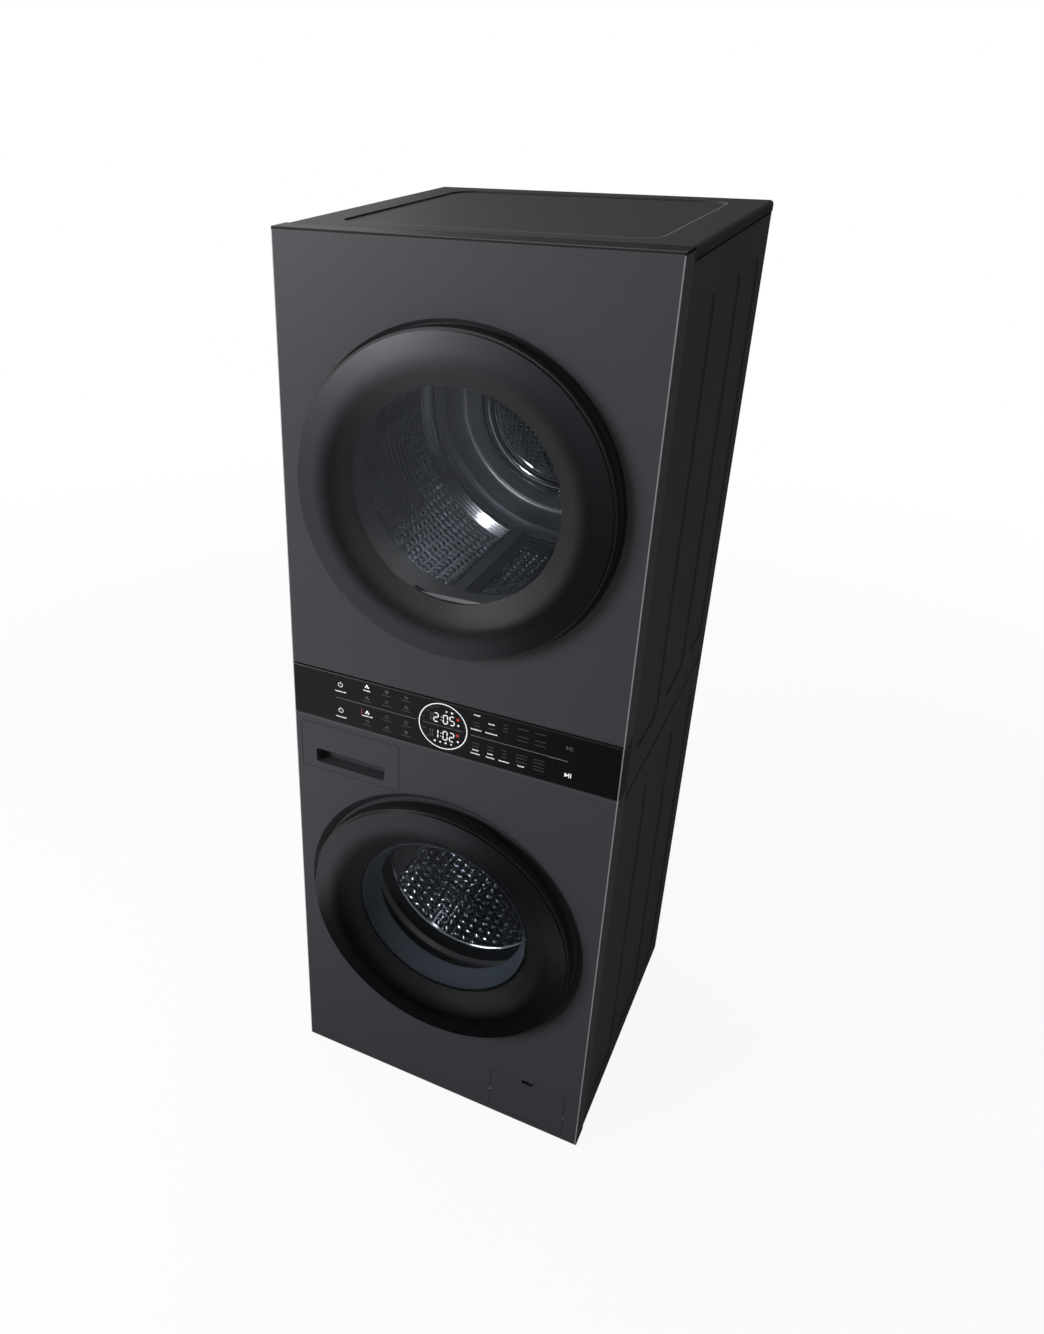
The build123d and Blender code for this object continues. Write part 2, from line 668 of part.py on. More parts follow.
# ------------------------------------------------------------------ cabinets
# Lower cabinet: sides and back in one fold, ribs, and two hangers for the tub springs
rib_length = (CABINET_DEPTH - RIB_FRONT - RIB_BACK - REAR_RIB) / 2 - RIB_SPACING
rib_starts = [FRONT_Y + RIB_FRONT + place * (rib_length + RIB_SPACING) for place in range(3)]
rib_spans = [(start, start + length)
             for start, length in zip(rib_starts, (rib_length, rib_length, REAR_RIB))]
back_wall = (BACK_Y - 2 * SIDE_SHEET, BACK_Y + SIDE_SHEET)
with BuildPart() as washer_cabinet:
    cabinet_shell(CABINET_Z, SEAM_Z)
    side_ribs(rib_spans, CABINET_Z + LOWER_RIB_ENDS[0], SEAM_Z - LOWER_RIB_ENDS[1])
    for side in (-1, 1):
        inner, outer = sorted((side * (SPRING_X - SPRING_R), side * (CABINET_X - SIDE_SHEET)))
        block(inner, outer, SUSPENSION_Y - LUG_WIDTH / 2, SUSPENSION_Y + LUG_WIDTH / 2,
              HANGER_Z, HANGER_Z + HANGER_THICK)
    half_cover = WASHER_COVER[0] / 2 - COVER_RIM * 2
    half_high = WASHER_COVER[1] / 2 - COVER_RIM * 2
    facing_plate(-half_cover, half_cover, WASHER_Z - half_high, WASHER_Z + half_high,
                 *back_wall, RIB_RADIUS, mode=Mode.SUBTRACT)
    for valve_x in VALVE_X:
        rod((valve_x, back_wall[0], VALVE_Z), (valve_x, back_wall[1], VALVE_Z),
            VALVE_NECK_R + SIDE_FIT, mode=Mode.SUBTRACT)
    rod((HOSE_X, back_wall[0], HOSE_Z), (HOSE_X, back_wall[1], HOSE_Z),
        SPIGOT_NECK_R + SIDE_FIT, mode=Mode.SUBTRACT)
finish(washer_cabinet, "washer_cabinet")

# Upper cabinet: the same fold, with an opening for the dryer's cover and its mains inlet
with BuildPart() as dryer_cabinet:
    cabinet_shell(SEAM_Z, TOP_Z)
    side_ribs(rib_spans, SEAM_Z + UPPER_RIB_ENDS[0], TOP_Z - UPPER_RIB_ENDS[1])
    half_cover = DRYER_COVER[0] / 2 - COVER_RIM * 2
    half_high = DRYER_COVER[1] / 2 - COVER_RIM * 2
    facing_plate(-half_cover, half_cover, DRYER_Z - half_high, DRYER_Z + half_high,
                 *back_wall, RIB_RADIUS, mode=Mode.SUBTRACT)
    rod((INLET_X, back_wall[0], INLET_Z), (INLET_X, back_wall[1], INLET_Z),
        INLET_R + SIDE_FIT, mode=Mode.SUBTRACT)
finish(dryer_cabinet, "dryer_cabinet")

# Top plate: a shallow lid with rolled edges and a sunken tray
recess_x = HALF_WIDTH - TOP_RECESS_MARGIN
recess_y = FRONT_Y + TOP_RECESS_FRONT
recess_floor = HEIGHT - TOP_RECESS_DEPTH
with BuildPart() as top_plate:
    block(-HALF_WIDTH, HALF_WIDTH, CABINET_Y + PANEL_GAP, BACK_Y, TOP_Z, HEIGHT)
    fillet(faces().sort_by(Axis.Z)[-1].edges().filter_by(Axis.Y), TOP_CORNER)
    offset(amount=-TOP_SHEET, openings=faces().sort_by(Axis.Z)[0])
    with BuildSketch(Plane.XY.offset(recess_floor - TOP_SHEET)):
        with Locations((0, recess_y + TOP_RECESS_LENGTH / 2)):
            RectangleRounded(2 * (recess_x + TOP_SHEET), TOP_RECESS_LENGTH + 2 * TOP_SHEET,
                             TOP_RECESS_RADIUS + TOP_SHEET)
    extrude(amount=TOP_RECESS_DEPTH + TOP_SHEET)
    with BuildSketch(Plane.XY.offset(recess_floor)):
        with Locations((0, recess_y + TOP_RECESS_LENGTH / 2)):
            RectangleRounded(2 * recess_x, TOP_RECESS_LENGTH, TOP_RECESS_RADIUS)
    extrude(amount=TOP_RECESS_DEPTH, mode=Mode.SUBTRACT)
finish(top_plate, "top_plate")

# Bottom plate with a threaded boss for each foot
foot_places = {
    "foot_front_left": (-FOOT_X, FRONT_Y + FOOT_FRONT),
    "foot_front_right": (FOOT_X, FRONT_Y + FOOT_FRONT),
    "foot_rear_left": (-FOOT_X, BACK_Y - FOOT_REAR),
    "foot_rear_right": (FOOT_X, BACK_Y - FOOT_REAR),
}
boss_top = CABINET_Z + FOOT_BOSS
with BuildPart() as base_plate:
    block(-CABINET_X, CABINET_X, CABINET_Y, BACK_Y, BASE_Z, CABINET_Z)
    for x, y in foot_places.values():
        rod((x, y, BASE_Z), (x, y, boss_top), FOOT_BOSS_R)
        rod((x, y, BASE_Z), (x, y, boss_top), FOOT_STEM_R + RUNNING_FIT, mode=Mode.SUBTRACT)
    for side in (-1, 1):
        foot_x = side * DAMPER_FOOT_X
        block(foot_x - DAMPER_R, foot_x + DAMPER_R, SUSPENSION_Y - DAMPER_R,
              SUSPENSION_Y + DAMPER_R, CABINET_Z, DAMPER_FOOT_Z)
finish(base_plate, "base_plate")

# Levelling feet: a pad under a stem that screws into the bottom plate
for name, (x, y) in foot_places.items():
    with BuildPart() as foot:
        rod((x, y, 0), (x, y, FOOT_PAD), FOOT_PAD_R)
        chamfer(edges().group_by(Axis.Z)[-1], FOOT_CHAMFER)
        rod((x, y, FOOT_PAD), (x, y, BASE_Z - FOOT_STOP_GAP), FOOT_STEM_R * 2)
        rod((x, y, FOOT_PAD), (x, y, boss_top + FOOT_TRAVEL), FOOT_STEM_R)
    finish(foot, name)

# ------------------------------------------------------------------ front panels
drawer_top = DRAWER_Z + DRAWER_HEIGHT
flap_right = FLAP_X + FLAP_WIDTH
flap_top = FLAP_Z + FLAP_HEIGHT
flap_axis = (FRONT_Y + FLAP_AXIS_IN, FLAP_Z + FLAP_AXIS_UP)
washer_floor = FRONT_Y + WASHER_DISH_DEPTH
dryer_floor = FRONT_Y + DRYER_DISH_DEPTH
washer_ring_back = washer_floor + FACE_SHEET / 2 - DOOR_SEAT_GAP
dryer_ring_back = dryer_floor + FACE_SHEET / 2 - DOOR_SEAT_GAP

with BuildPart() as washer_front_panel:
    front_pan(FOOT_GAP, BAND_Z - PANEL_GAP, FACE_SHEET)
    door_dish(WASHER_Z, WASHER_DISH_R, WASHER_DISH_DEPTH)
    hinge_slots(WASHER_Z, WASHER_DISH_DEPTH)
    facing_plate(DRAWER_X - DRAWER_GAP, DRAWER_RIGHT + DRAWER_GAP, DRAWER_Z - DRAWER_GAP,
                 drawer_top + DRAWER_GAP, FRONT_Y - PAST, FACE_BACK + PAST,
                 DRAWER_CORNER + DRAWER_GAP, mode=Mode.SUBTRACT)
    flap_plate(FLAP_GAP, FLAP_SWING_GAP, FRONT_Y - PAST, FACE_BACK + PAST, mode=Mode.SUBTRACT)
    for inner, outer in ((FLAP_X - FLAP_GAP, FLAP_X - FLAP_GAP - FLAP_CHEEK),
                         (flap_right + FLAP_GAP, flap_right + FLAP_GAP + FLAP_CHEEK)):
        near, far = sorted((inner, outer))
        block(near, far, FACE_BACK, flap_axis[0] + 2 * FLAP_PIN_R, flap_axis[1] - 2 * FLAP_PIN_R,
              flap_axis[1] + 2 * FLAP_PIN_R)
        rod((near, *flap_axis), (far, *flap_axis), FLAP_PIN_R + RUNNING_FIT, mode=Mode.SUBTRACT)
    half_slot = HOOK_THICK / 2 + SLOT_SLACK
    half_high = HOOK_WIDTH / 2 + SLOT_SLACK
    block(HOOK_R - half_slot, HOOK_R + half_slot, washer_floor - PAST, washer_floor + FACE_SHEET + PAST,
          WASHER_Z - half_high, WASHER_Z + half_high, mode=Mode.SUBTRACT)
finish(washer_front_panel, "washer_front_panel")

with BuildPart() as dryer_front_panel:
    front_pan(BAND_TOP + PANEL_GAP, HEIGHT, FACE_SHEET)
    door_dish(DRYER_Z, DRYER_DISH_R, DRYER_DISH_DEPTH)
    hinge_slots(DRYER_Z, DRYER_DISH_DEPTH)
    block(HOOK_R - half_slot, HOOK_R + half_slot, dryer_floor - PAST, dryer_floor + FACE_SHEET + PAST,
          DRYER_Z - half_high, DRYER_Z + half_high, mode=Mode.SUBTRACT)
finish(dryer_front_panel, "dryer_front_panel")

# Touch panel: a flat black front that wraps round both sides
with BuildPart() as control_fascia:
    front_pan(BAND_Z, BAND_TOP, FASCIA_WALL)
finish(control_fascia, "control_fascia")

fascia_back = FRONT_Y + FASCIA_WALL
housing_back = fascia_back + HOUSING_BACK
housing_x = HALF_WIDTH - FASCIA_WALL - CONTROL_MARGIN
board_y = fascia_back + BOARD_GAP
board_low = BAND_Z + (BAND_HEIGHT - BOARD_HEIGHT) / 2
post_places = [(x, z) for x in (BOARD_X + 2 * POST_R, BOARD_X + BOARD_WIDTH - 2 * POST_R)
               for z in (board_low + 2 * POST_R, board_low + BOARD_HEIGHT - 2 * POST_R)]
with BuildPart() as control_housing:
    low = BAND_Z + FASCIA_WALL + CONTROL_MARGIN
    high = BAND_TOP - FASCIA_WALL - CONTROL_MARGIN
    block(-housing_x, housing_x, fascia_back, housing_back, low, high)
    offset(amount=-CONTROL_WALL, openings=faces().sort_by(Axis.Y)[0])
    for x, z in post_places:
        rod((x, housing_back, z), (x, board_y + BOARD_THICK, z), POST_R)
finish(control_housing, "control_housing")

with BuildPart() as display_board:
    block(BOARD_X, BOARD_X + BOARD_WIDTH, board_y, board_y + BOARD_THICK, board_low,
          board_low + BOARD_HEIGHT)
finish(display_board, "display_board")

# ------------------------------------------------------------------ doors
with BuildPart() as washer_door_ring:
    door_ring(WASHER_Z, WASHER_DISH_DEPTH)
    # Slot and pivot cheeks for the door hook
    pivot_y = washer_ring_back - HOOK_PIVOT_BACK
    half_hook = HOOK_THICK / 2 + SLOT_SLACK
    cheek_near = HOOK_WIDTH / 2 + HINGE_SLACK / 2
    cheek_far = cheek_near + RING_WALL + HINGE_SLACK
    block(HOOK_R - HOOK_THICK, HOOK_R + HOOK_THICK, pivot_y - HOOK_THICK, washer_ring_back,
          WASHER_Z - cheek_far, WASHER_Z + cheek_far)
    block(HOOK_R - half_hook, HOOK_R + half_hook, pivot_y - HOOK_POCKET,
          washer_ring_back + PAST, WASHER_Z - cheek_near, WASHER_Z + cheek_near, mode=Mode.SUBTRACT)
    rod((HOOK_R, pivot_y, WASHER_Z - cheek_far), (HOOK_R, pivot_y, WASHER_Z + cheek_far),
        HOOK_PIN_R + RUNNING_FIT, mode=Mode.SUBTRACT)
finish(washer_door_ring, "washer_door_ring")

with BuildPart() as washer_door_glass:
    door_glass(WASHER_Z)
finish(washer_door_glass, "washer_door_glass")

with BuildPart() as washer_door_bowl:
    door_liner(WASHER_Z, WASHER_DISH_DEPTH, BOWL_END_R, BOWL_DEPTH)
finish(washer_door_bowl, "washer_door_bowl")

hook_tip = pivot_y + HOOK_REACH
with BuildPart() as washer_door_hook:
    half_hook = HOOK_THICK / 2
    half_width = HOOK_WIDTH / 2
    rod((HOOK_R, pivot_y, WASHER_Z - cheek_far), (HOOK_R, pivot_y, WASHER_Z + cheek_far), HOOK_PIN_R)
    rod((HOOK_R, pivot_y, WASHER_Z - half_width), (HOOK_R, pivot_y, WASHER_Z + half_width),
        HOOK_PIN_R * 2)
    block(HOOK_R - half_hook, HOOK_R + half_hook, pivot_y, hook_tip, WASHER_Z - half_width,
          WASHER_Z + half_width)
    block(HOOK_R - half_hook - HOOK_BARB, HOOK_R, hook_tip - HOOK_THICK, hook_tip, WASHER_Z - half_width,
          WASHER_Z + half_width)
finish(washer_door_hook, "washer_door_hook")

with BuildPart() as dryer_door_ring:
    door_ring(DRYER_Z, DRYER_DISH_DEPTH)
    block(HOOK_R - HOOK_THICK / 2, HOOK_R + HOOK_THICK / 2, dryer_ring_back - PAST,
          dryer_ring_back + STRIKE_REACH, DRYER_Z - HOOK_WIDTH / 2, DRYER_Z + HOOK_WIDTH / 2)
finish(dryer_door_ring, "dryer_door_ring")

with BuildPart() as dryer_door_glass:
    door_glass(DRYER_Z)
finish(dryer_door_glass, "dryer_door_glass")

with BuildPart() as dryer_door_window:
    door_liner(DRYER_Z, DRYER_DISH_DEPTH, WINDOW_R - WINDOW_TAPER, WINDOW_DEPTH)
finish(dryer_door_window, "dryer_door_window")

with BuildPart() as door_hinges:
    hinge_bracket(WASHER_Z, WASHER_DISH_DEPTH)
    hinge_bracket(DRYER_Z, DRYER_DISH_DEPTH)
finish(door_hinges, "door_hinges")

# Lock behind the panel, with the slot that the hook enters
lock_front = washer_floor + FACE_SHEET
with BuildPart() as washer_door_lock:
    half_lock = HOOK_THICK / 2 + 2 * SLOT_SLACK
    block(HOOK_R - half_lock, HOOK_R + 2 * half_lock, lock_front, lock_front + LOCK_DEPTH,
          WASHER_Z - LOCK_HEIGHT / 2, WASHER_Z + LOCK_HEIGHT / 2)
    turn(WASHER_Z, [(0, lock_front - PAST), (PORT_R + FACE_SHEET * 2, lock_front - PAST),
                    (PORT_R + FACE_SHEET * 2, lock_front + LOCK_DEPTH + PAST),
                    (0, lock_front + LOCK_DEPTH + PAST)], mode=Mode.SUBTRACT)
    block(HOOK_R - half_slot, HOOK_R + half_slot, lock_front, hook_tip + SLOT_SLACK,
          WASHER_Z - half_high, WASHER_Z + half_high, mode=Mode.SUBTRACT)
finish(washer_door_lock, "washer_door_lock")

# ------------------------------------------------------------------ washing unit
tub_mouth_y = TUB_Y - TUB_LIP
tub_split = TUB_Y + TUB_SPLIT
tub_mid_r = TUB_R - TUB_WALL / 2
tub_front_mid = TUB_Y + TUB_WALL / 2
tub_back_mid = TUB_BACK - TUB_WALL / 2
# The springs stand where the tub has curved far enough away from them
spring_side = SPRING_X - SPRING_R - SPRING_CLEARANCE
spring_lug_z = WASHER_Z + math.sqrt(TUB_R ** 2 - spring_side ** 2)

with BuildPart() as washer_tub_front:
    turn(WASHER_Z, sheet_outline([(TUB_MOUTH_R, tub_mouth_y), (TUB_MOUTH_R, tub_front_mid),
                                  (tub_mid_r, tub_front_mid), (tub_mid_r, tub_split)], TUB_WALL))
    turn(WASHER_Z, [(TUB_R - PAST, tub_split - TUB_WALL), (TUB_R + TUB_FLANGE, tub_split - TUB_WALL),
                    (TUB_R + TUB_FLANGE, tub_split), (TUB_R - PAST, tub_split)])
finish(washer_tub_front, "washer_tub_front")

# Rear half of the tub: wall, bearing hub, spring lugs and damper lugs
with BuildPart() as washer_tub_rear:
    for side in (-1, 1):
        near, far = sorted((side * SHAFT_R, side * (SPRING_X + SPRING_R)))
        block(near, far, SUSPENSION_Y - LUG_WIDTH / 2, SUSPENSION_Y + LUG_WIDTH / 2,
              spring_lug_z - LUG_HEIGHT, spring_lug_z)
        top_x = side * DAMPER_TOP_X
        lug_top = WASHER_Z - math.sqrt(TUB_R ** 2 - (DAMPER_TOP_X + DAMPER_R) ** 2)
        block(top_x - DAMPER_R, top_x + DAMPER_R, SUSPENSION_Y - DAMPER_R,
              SUSPENSION_Y + DAMPER_R, WASHER_Z - TUB_R, lug_top)
    turn(WASHER_Z, sheet_outline([(tub_mid_r, tub_split), (tub_mid_r, tub_back_mid),
                                  (SHAFT_R + 2, tub_back_mid)], TUB_WALL))
    turn(WASHER_Z, [(TUB_R - PAST, tub_split), (TUB_R + TUB_FLANGE, tub_split),
                    (TUB_R + TUB_FLANGE, tub_split + TUB_WALL), (TUB_R - PAST, tub_split + TUB_WALL)])
    turn(WASHER_Z, [(0, tub_split - PAST), (TUB_R - TUB_WALL, tub_split - PAST),
                    (TUB_R - TUB_WALL, TUB_BACK - TUB_WALL), (0, TUB_BACK - TUB_WALL)],
         mode=Mode.SUBTRACT)
    hub_front = DRUM_BACK + SPIDER_THICK + HUB_GAP
    hub_back = TUB_BACK + HUB_PROUD
    turn(WASHER_Z, [(SHAFT_R, hub_front), (HUB_R, hub_front), (HUB_R, hub_back),
                    (SHAFT_R, hub_back)])
    rod((0, hub_front - PAST, WASHER_Z), (0, hub_back + PAST, WASHER_Z), SHAFT_R + RUNNING_FIT,
        mode=Mode.SUBTRACT)
finish(washer_tub_rear, "washer_tub_rear")

# Rubber gasket: clamped on the port's lip, a sealing lip round the bowl, a fold, the tub's lip
bowl_rim_r = WINDOW_R - SIDE_FIT
bowl_slope = (bowl_rim_r - BOWL_END_R - BOWL_WALL / 2) / BOWL_DEPTH
port_back = washer_floor + FACE_SHEET / 2 + PORT_LIP
lip_y = port_back + GASKET_WALL * 2
lip_r = bowl_rim_r - bowl_slope * (lip_y - washer_ring_back) + GASKET_GAP + GASKET_WALL / 2
clamp_r = PORT_R - FACE_SHEET / 2 - GASKET_WALL / 2
with BuildPart() as door_gasket:
    turn(WASHER_Z, sheet_outline([(PORT_R - FACE_SHEET / 2 - GASKET_WALL / 2, washer_floor),
                                  (clamp_r, port_back + GASKET_WALL),
                                  (lip_r + GASKET_WALL * 2, lip_y), (lip_r, lip_y - GASKET_WALL)],
                                 GASKET_WALL))
    fold_r = TUB_MOUTH_R + TUB_WALL / 2 + GASKET_WALL / 2
    turn(WASHER_Z, sheet_outline([(clamp_r, port_back), (clamp_r, tub_mouth_y - 2 * GASKET_WALL),
                                  (fold_r, tub_mouth_y), (fold_r, TUB_Y)], GASKET_WALL))
finish(door_gasket, "door_gasket")

with BuildPart() as counterweights:
    weight_y = TUB_Y - WEIGHT_THICK
    turn(WASHER_Z, [(WEIGHT_BORE, weight_y), (WEIGHT_R, weight_y), (WEIGHT_R, TUB_Y),
                    (WEIGHT_BORE, TUB_Y)])
    block(-WEIGHT_R - PAST, WEIGHT_R + PAST, weight_y - PAST, TUB_Y + PAST, WASHER_Z - WEIGHT_SPLIT,
          WASHER_Z + WEIGHT_SPLIT, mode=Mode.SUBTRACT)
finish(counterweights, "counterweights")

with BuildPart() as suspension_springs:
    for side in (-1, 1):
        x = side * SPRING_X
        rod((x, SUSPENSION_Y, spring_lug_z), (x, SUSPENSION_Y, HANGER_Z), SPRING_R)
        rod((x, SUSPENSION_Y, spring_lug_z + LUG_HEIGHT), (x, SUSPENSION_Y, HANGER_Z - LUG_HEIGHT),
            SPRING_R - SPRING_WIRE, mode=Mode.SUBTRACT)
finish(suspension_springs, "suspension_springs")

# Dampers lean inwards from the bottom plate to the lugs under the tub
damper_top_z = WASHER_Z - TUB_R
with BuildPart() as suspension_dampers:
    for side in (-1, 1):
        foot = Vector(side * DAMPER_FOOT_X, SUSPENSION_Y, DAMPER_FOOT_Z)
        top = Vector(side * DAMPER_TOP_X, SUSPENSION_Y, damper_top_z)
        middle = (foot + top) * 0.5
        rod(foot, top, DAMPER_ROD_R)
        rod(foot, middle, DAMPER_R)
    reach = DAMPER_FOOT_X + 4 * DAMPER_R
    block(-reach, reach, SUSPENSION_Y - reach, SUSPENSION_Y + reach, 0, DAMPER_FOOT_Z,
          mode=Mode.SUBTRACT)
    block(-reach, reach, SUSPENSION_Y - reach, SUSPENSION_Y + reach, damper_top_z,
          damper_top_z + reach, mode=Mode.SUBTRACT)
finish(suspension_dampers, "suspension_dampers")

# Washer drum: a spun cylinder with a rolled mouth, and a plain back carried by the spider
drum_mid_r = DRUM_R - DRUM_WALL / 2
with BuildPart() as washer_drum:
    turn(WASHER_Z, sheet_outline([(DRUM_MOUTH_R + DRUM_WALL / 2, DRUM_Y - DRUM_WALL * 2),
                                  (DRUM_MOUTH_R + DRUM_WALL / 2, DRUM_Y + DRUM_WALL),
                                  (drum_mid_r - DRUM_CORNER, DRUM_Y + DRUM_WALL),
                                  (drum_mid_r, DRUM_Y + DRUM_CORNER),
                                  (drum_mid_r, DRUM_BACK - DRUM_CORNER),
                                  (drum_mid_r - DRUM_CORNER, DRUM_BACK - DRUM_WALL / 2),
                                  (0, DRUM_BACK - DRUM_WALL / 2)], DRUM_WALL))
finish(washer_drum, "washer_drum")

with BuildPart() as washer_drum_lifters:
    drum_lifters(WASHER_Z, DRUM_R - DRUM_WALL - RUNNING_FIT, DRUM_Y + LIFTER_MARGIN,
                 DRUM_BACK - LIFTER_MARGIN, WASHER_LIFTER_TURN)
finish(washer_drum_lifters, "washer_drum_lifters")

rotor_back = TUB_BACK + TUB_WALL + STATOR_LENGTH + ROTOR_GAP
with BuildPart() as drum_spider:
    with BuildSketch(Plane.XZ.offset(-DRUM_BACK)) as star:
        with Locations((0, WASHER_Z)):
            Circle(HUB_R)
            with PolarLocations(0, LIFTER_COUNT, start_angle=90):
                with Locations(((DRUM_R - DRUM_CORNER * 2) / 2, 0)):
                    Rectangle(DRUM_R - DRUM_CORNER * 2, SPIDER_ARM)
    extrude(star.sketch, amount=-SPIDER_THICK)
    turn(WASHER_Z, [(0, DRUM_BACK), (SHAFT_R, DRUM_BACK), (SHAFT_R, rotor_back + ROTOR_WALL * 3),
                    (0, rotor_back + ROTOR_WALL * 3)])
finish(drum_spider, "drum_spider")

with BuildPart() as motor_stator:
    turn(WASHER_Z, [(STATOR_BORE, TUB_BACK), (STATOR_R, TUB_BACK),
                    (STATOR_R, TUB_BACK + STATOR_LENGTH), (STATOR_BORE, TUB_BACK + STATOR_LENGTH)])
finish(motor_stator, "motor_stator")

with BuildPart() as motor_rotor:
    rim_r = STATOR_R + ROTOR_GAP
    rim_front = rotor_back + ROTOR_WALL - ROTOR_LENGTH + STATOR_LENGTH / 2
    turn(WASHER_Z, [(SHAFT_R + RUNNING_FIT, rotor_back), (rim_r, rotor_back), (rim_r, rim_front),
                    (rim_r + ROTOR_WALL, rim_front), (rim_r + ROTOR_WALL, rotor_back + ROTOR_WALL),
                    (SHAFT_R + RUNNING_FIT, rotor_back + ROTOR_WALL)])
finish(motor_rotor, "motor_rotor")

# ------------------------------------------------------------------ detergent drawer
pull_left = DRAWER_X + PULL_LEFT
pull_right = DRAWER_RIGHT - PULL_RIGHT
pull_low = DRAWER_Z + PULL_RISE
pull_top = pull_low + PULL_HEIGHT
pull_back = FRONT_Y + PULL_DEEP
tray_left = DRAWER_X + TRAY_INSET
tray_right = DRAWER_RIGHT - TRAY_INSET
tray_low = DRAWER_Z + TRAY_LOW
tray_top = tray_low + TRAY_HEIGHT
tray_front = pull_back + PULL_WALL
tray_back = tray_front + TRAY_LENGTH

# Drawer front: a face plate with a finger pull that hooks up behind it
with BuildPart() as drawer_front:
    facing_plate(DRAWER_X, DRAWER_RIGHT, DRAWER_Z, drawer_top, FRONT_Y, FRONT_Y + DRAWER_FACE,
                 DRAWER_CORNER)
    block(pull_left - PULL_WALL, pull_right + PULL_WALL, FRONT_Y + DRAWER_FACE, tray_front,
          tray_low, pull_top + PULL_UNDERCUT + PULL_WALL)
    facing_plate(pull_left, pull_right, pull_low, pull_top, FRONT_Y - PAST, pull_back, DRAWER_CORNER,
                 mode=Mode.SUBTRACT)
    block(pull_left, pull_right, FRONT_Y + 2 * DRAWER_FACE, pull_back, pull_top - 2 * DRAWER_FACE,
          pull_top + PULL_UNDERCUT, mode=Mode.SUBTRACT)
finish(drawer_front, "drawer_front")

# Tray: an open box with two lengthwise walls
with BuildPart() as drawer_tray:
    block(tray_left, tray_right, tray_front, tray_back, tray_low, tray_top)
    offset(amount=-TRAY_WALL, openings=faces().sort_by(Axis.Z)[-1])
    for share in TRAY_SPLITS:
        wall_x = tray_left + share * (tray_right - tray_left)
        block(wall_x, wall_x + TRAY_WALL, tray_front + PAST, tray_back - PAST, tray_low + PAST,
              tray_top - LUG_HEIGHT)
finish(drawer_tray, "drawer_tray")

# Dispenser housing: a sleeve round the tray with a mouth against the back of the panel
sleeve = (tray_left - HOUSING_GAP, tray_right + HOUSING_GAP)
sleeve_z = (tray_low - HOUSING_GAP, tray_top + HOUSING_GAP)
sleeve_back = tray_back + 2 * HOUSING_GAP
mouth_back = FACE_BACK + MOUTH_DEPTH
with BuildPart() as dispenser_housing:
    opening_gap = DRAWER_GAP + HOUSING_GAP / 3
    facing_plate(DRAWER_X - opening_gap - MOUTH_RIM, DRAWER_RIGHT + opening_gap + MOUTH_RIM,
                 DRAWER_Z - opening_gap - MOUTH_RIM, drawer_top + opening_gap + MOUTH_RIM,
                 FACE_BACK, mouth_back, DRAWER_CORNER + opening_gap + MOUTH_RIM)
    facing_plate(DRAWER_X - opening_gap, DRAWER_RIGHT + opening_gap, DRAWER_Z - opening_gap,
                 drawer_top + opening_gap, FACE_BACK, mouth_back - HOUSING_WALL, DRAWER_CORNER,
                 mode=Mode.SUBTRACT)
    block(sleeve[0] - HOUSING_WALL, sleeve[1] + HOUSING_WALL, mouth_back - HOUSING_WALL,
          sleeve_back + HOUSING_WALL, sleeve_z[0] - HOUSING_WALL, sleeve_z[1] + HOUSING_WALL)
    block(*sleeve, FACE_BACK - PAST, sleeve_back, *sleeve_z, mode=Mode.SUBTRACT)
finish(dispenser_housing, "dispenser_housing")

# Inlet valves: a body behind the back sheet, threaded inlets outside it, hoses to the dispenser
valve_half = VALVE_BODY / 2
with BuildPart() as inlet_valves:
    for x in VALVE_X:
        block(x - valve_half, x + valve_half, BACK_Y - SIDE_SHEET - VALVE_BODY,
              BACK_Y - SIDE_SHEET, VALVE_Z - valve_half, VALVE_Z + valve_half)
        rod((x, BACK_Y - SIDE_SHEET, VALVE_Z), (x, NECK_END, VALVE_Z), VALVE_NECK_R)
        rod((x, NECK_END, VALVE_Z), (x, REAR_Y, VALVE_Z), VALVE_THREAD_R)
        rod((x, BACK_Y, VALVE_Z), (x, REAR_Y, VALVE_Z), VALVE_BORE, mode=Mode.SUBTRACT)
        rod((x, sleeve_back + HOUSING_WALL, VALVE_Z), (x, BACK_Y - VALVE_BODY, VALVE_Z),
            VALVE_HOSE_R)
finish(inlet_valves, "inlet_valves")

# ------------------------------------------------------------------ drain
pump_front = FRONT_Y + PUMP_BACK
pump_back = pump_front + PUMP_LENGTH
outlet_y = pump_back - HOSE_R * 1.5
hose_start = PUMP_X + PUMP_R + OUTLET_REACH
with BuildPart() as filter_flap:
    flap_plate(0, 0, FRONT_Y, FRONT_Y + FLAP_THICK)
    notch_x = (FLAP_X + flap_right) / 2
    facing_plate(notch_x - NOTCH_WIDTH / 2, notch_x + NOTCH_WIDTH / 2, flap_top - NOTCH_DEPTH,
                 flap_top + NOTCH_DEPTH, FRONT_Y - PAST, FRONT_Y + FLAP_THICK + PAST,
                 NOTCH_DEPTH / 2, mode=Mode.SUBTRACT)
    for edge, way in ((FLAP_X, 1), (flap_right, -1)):
        near, far = sorted((edge, edge + way * FLAP_CHEEK))
        block(near, far, FRONT_Y + FLAP_THICK - PAST, flap_axis[0] + FLAP_PIN_R,
              flap_axis[1] - FLAP_PIN_R, flap_axis[1] + 2 * FLAP_PIN_R)
        rod((edge - way * FLAP_PIN, *flap_axis), (edge + way * FLAP_CHEEK, *flap_axis), FLAP_PIN_R)
finish(filter_flap, "filter_flap")

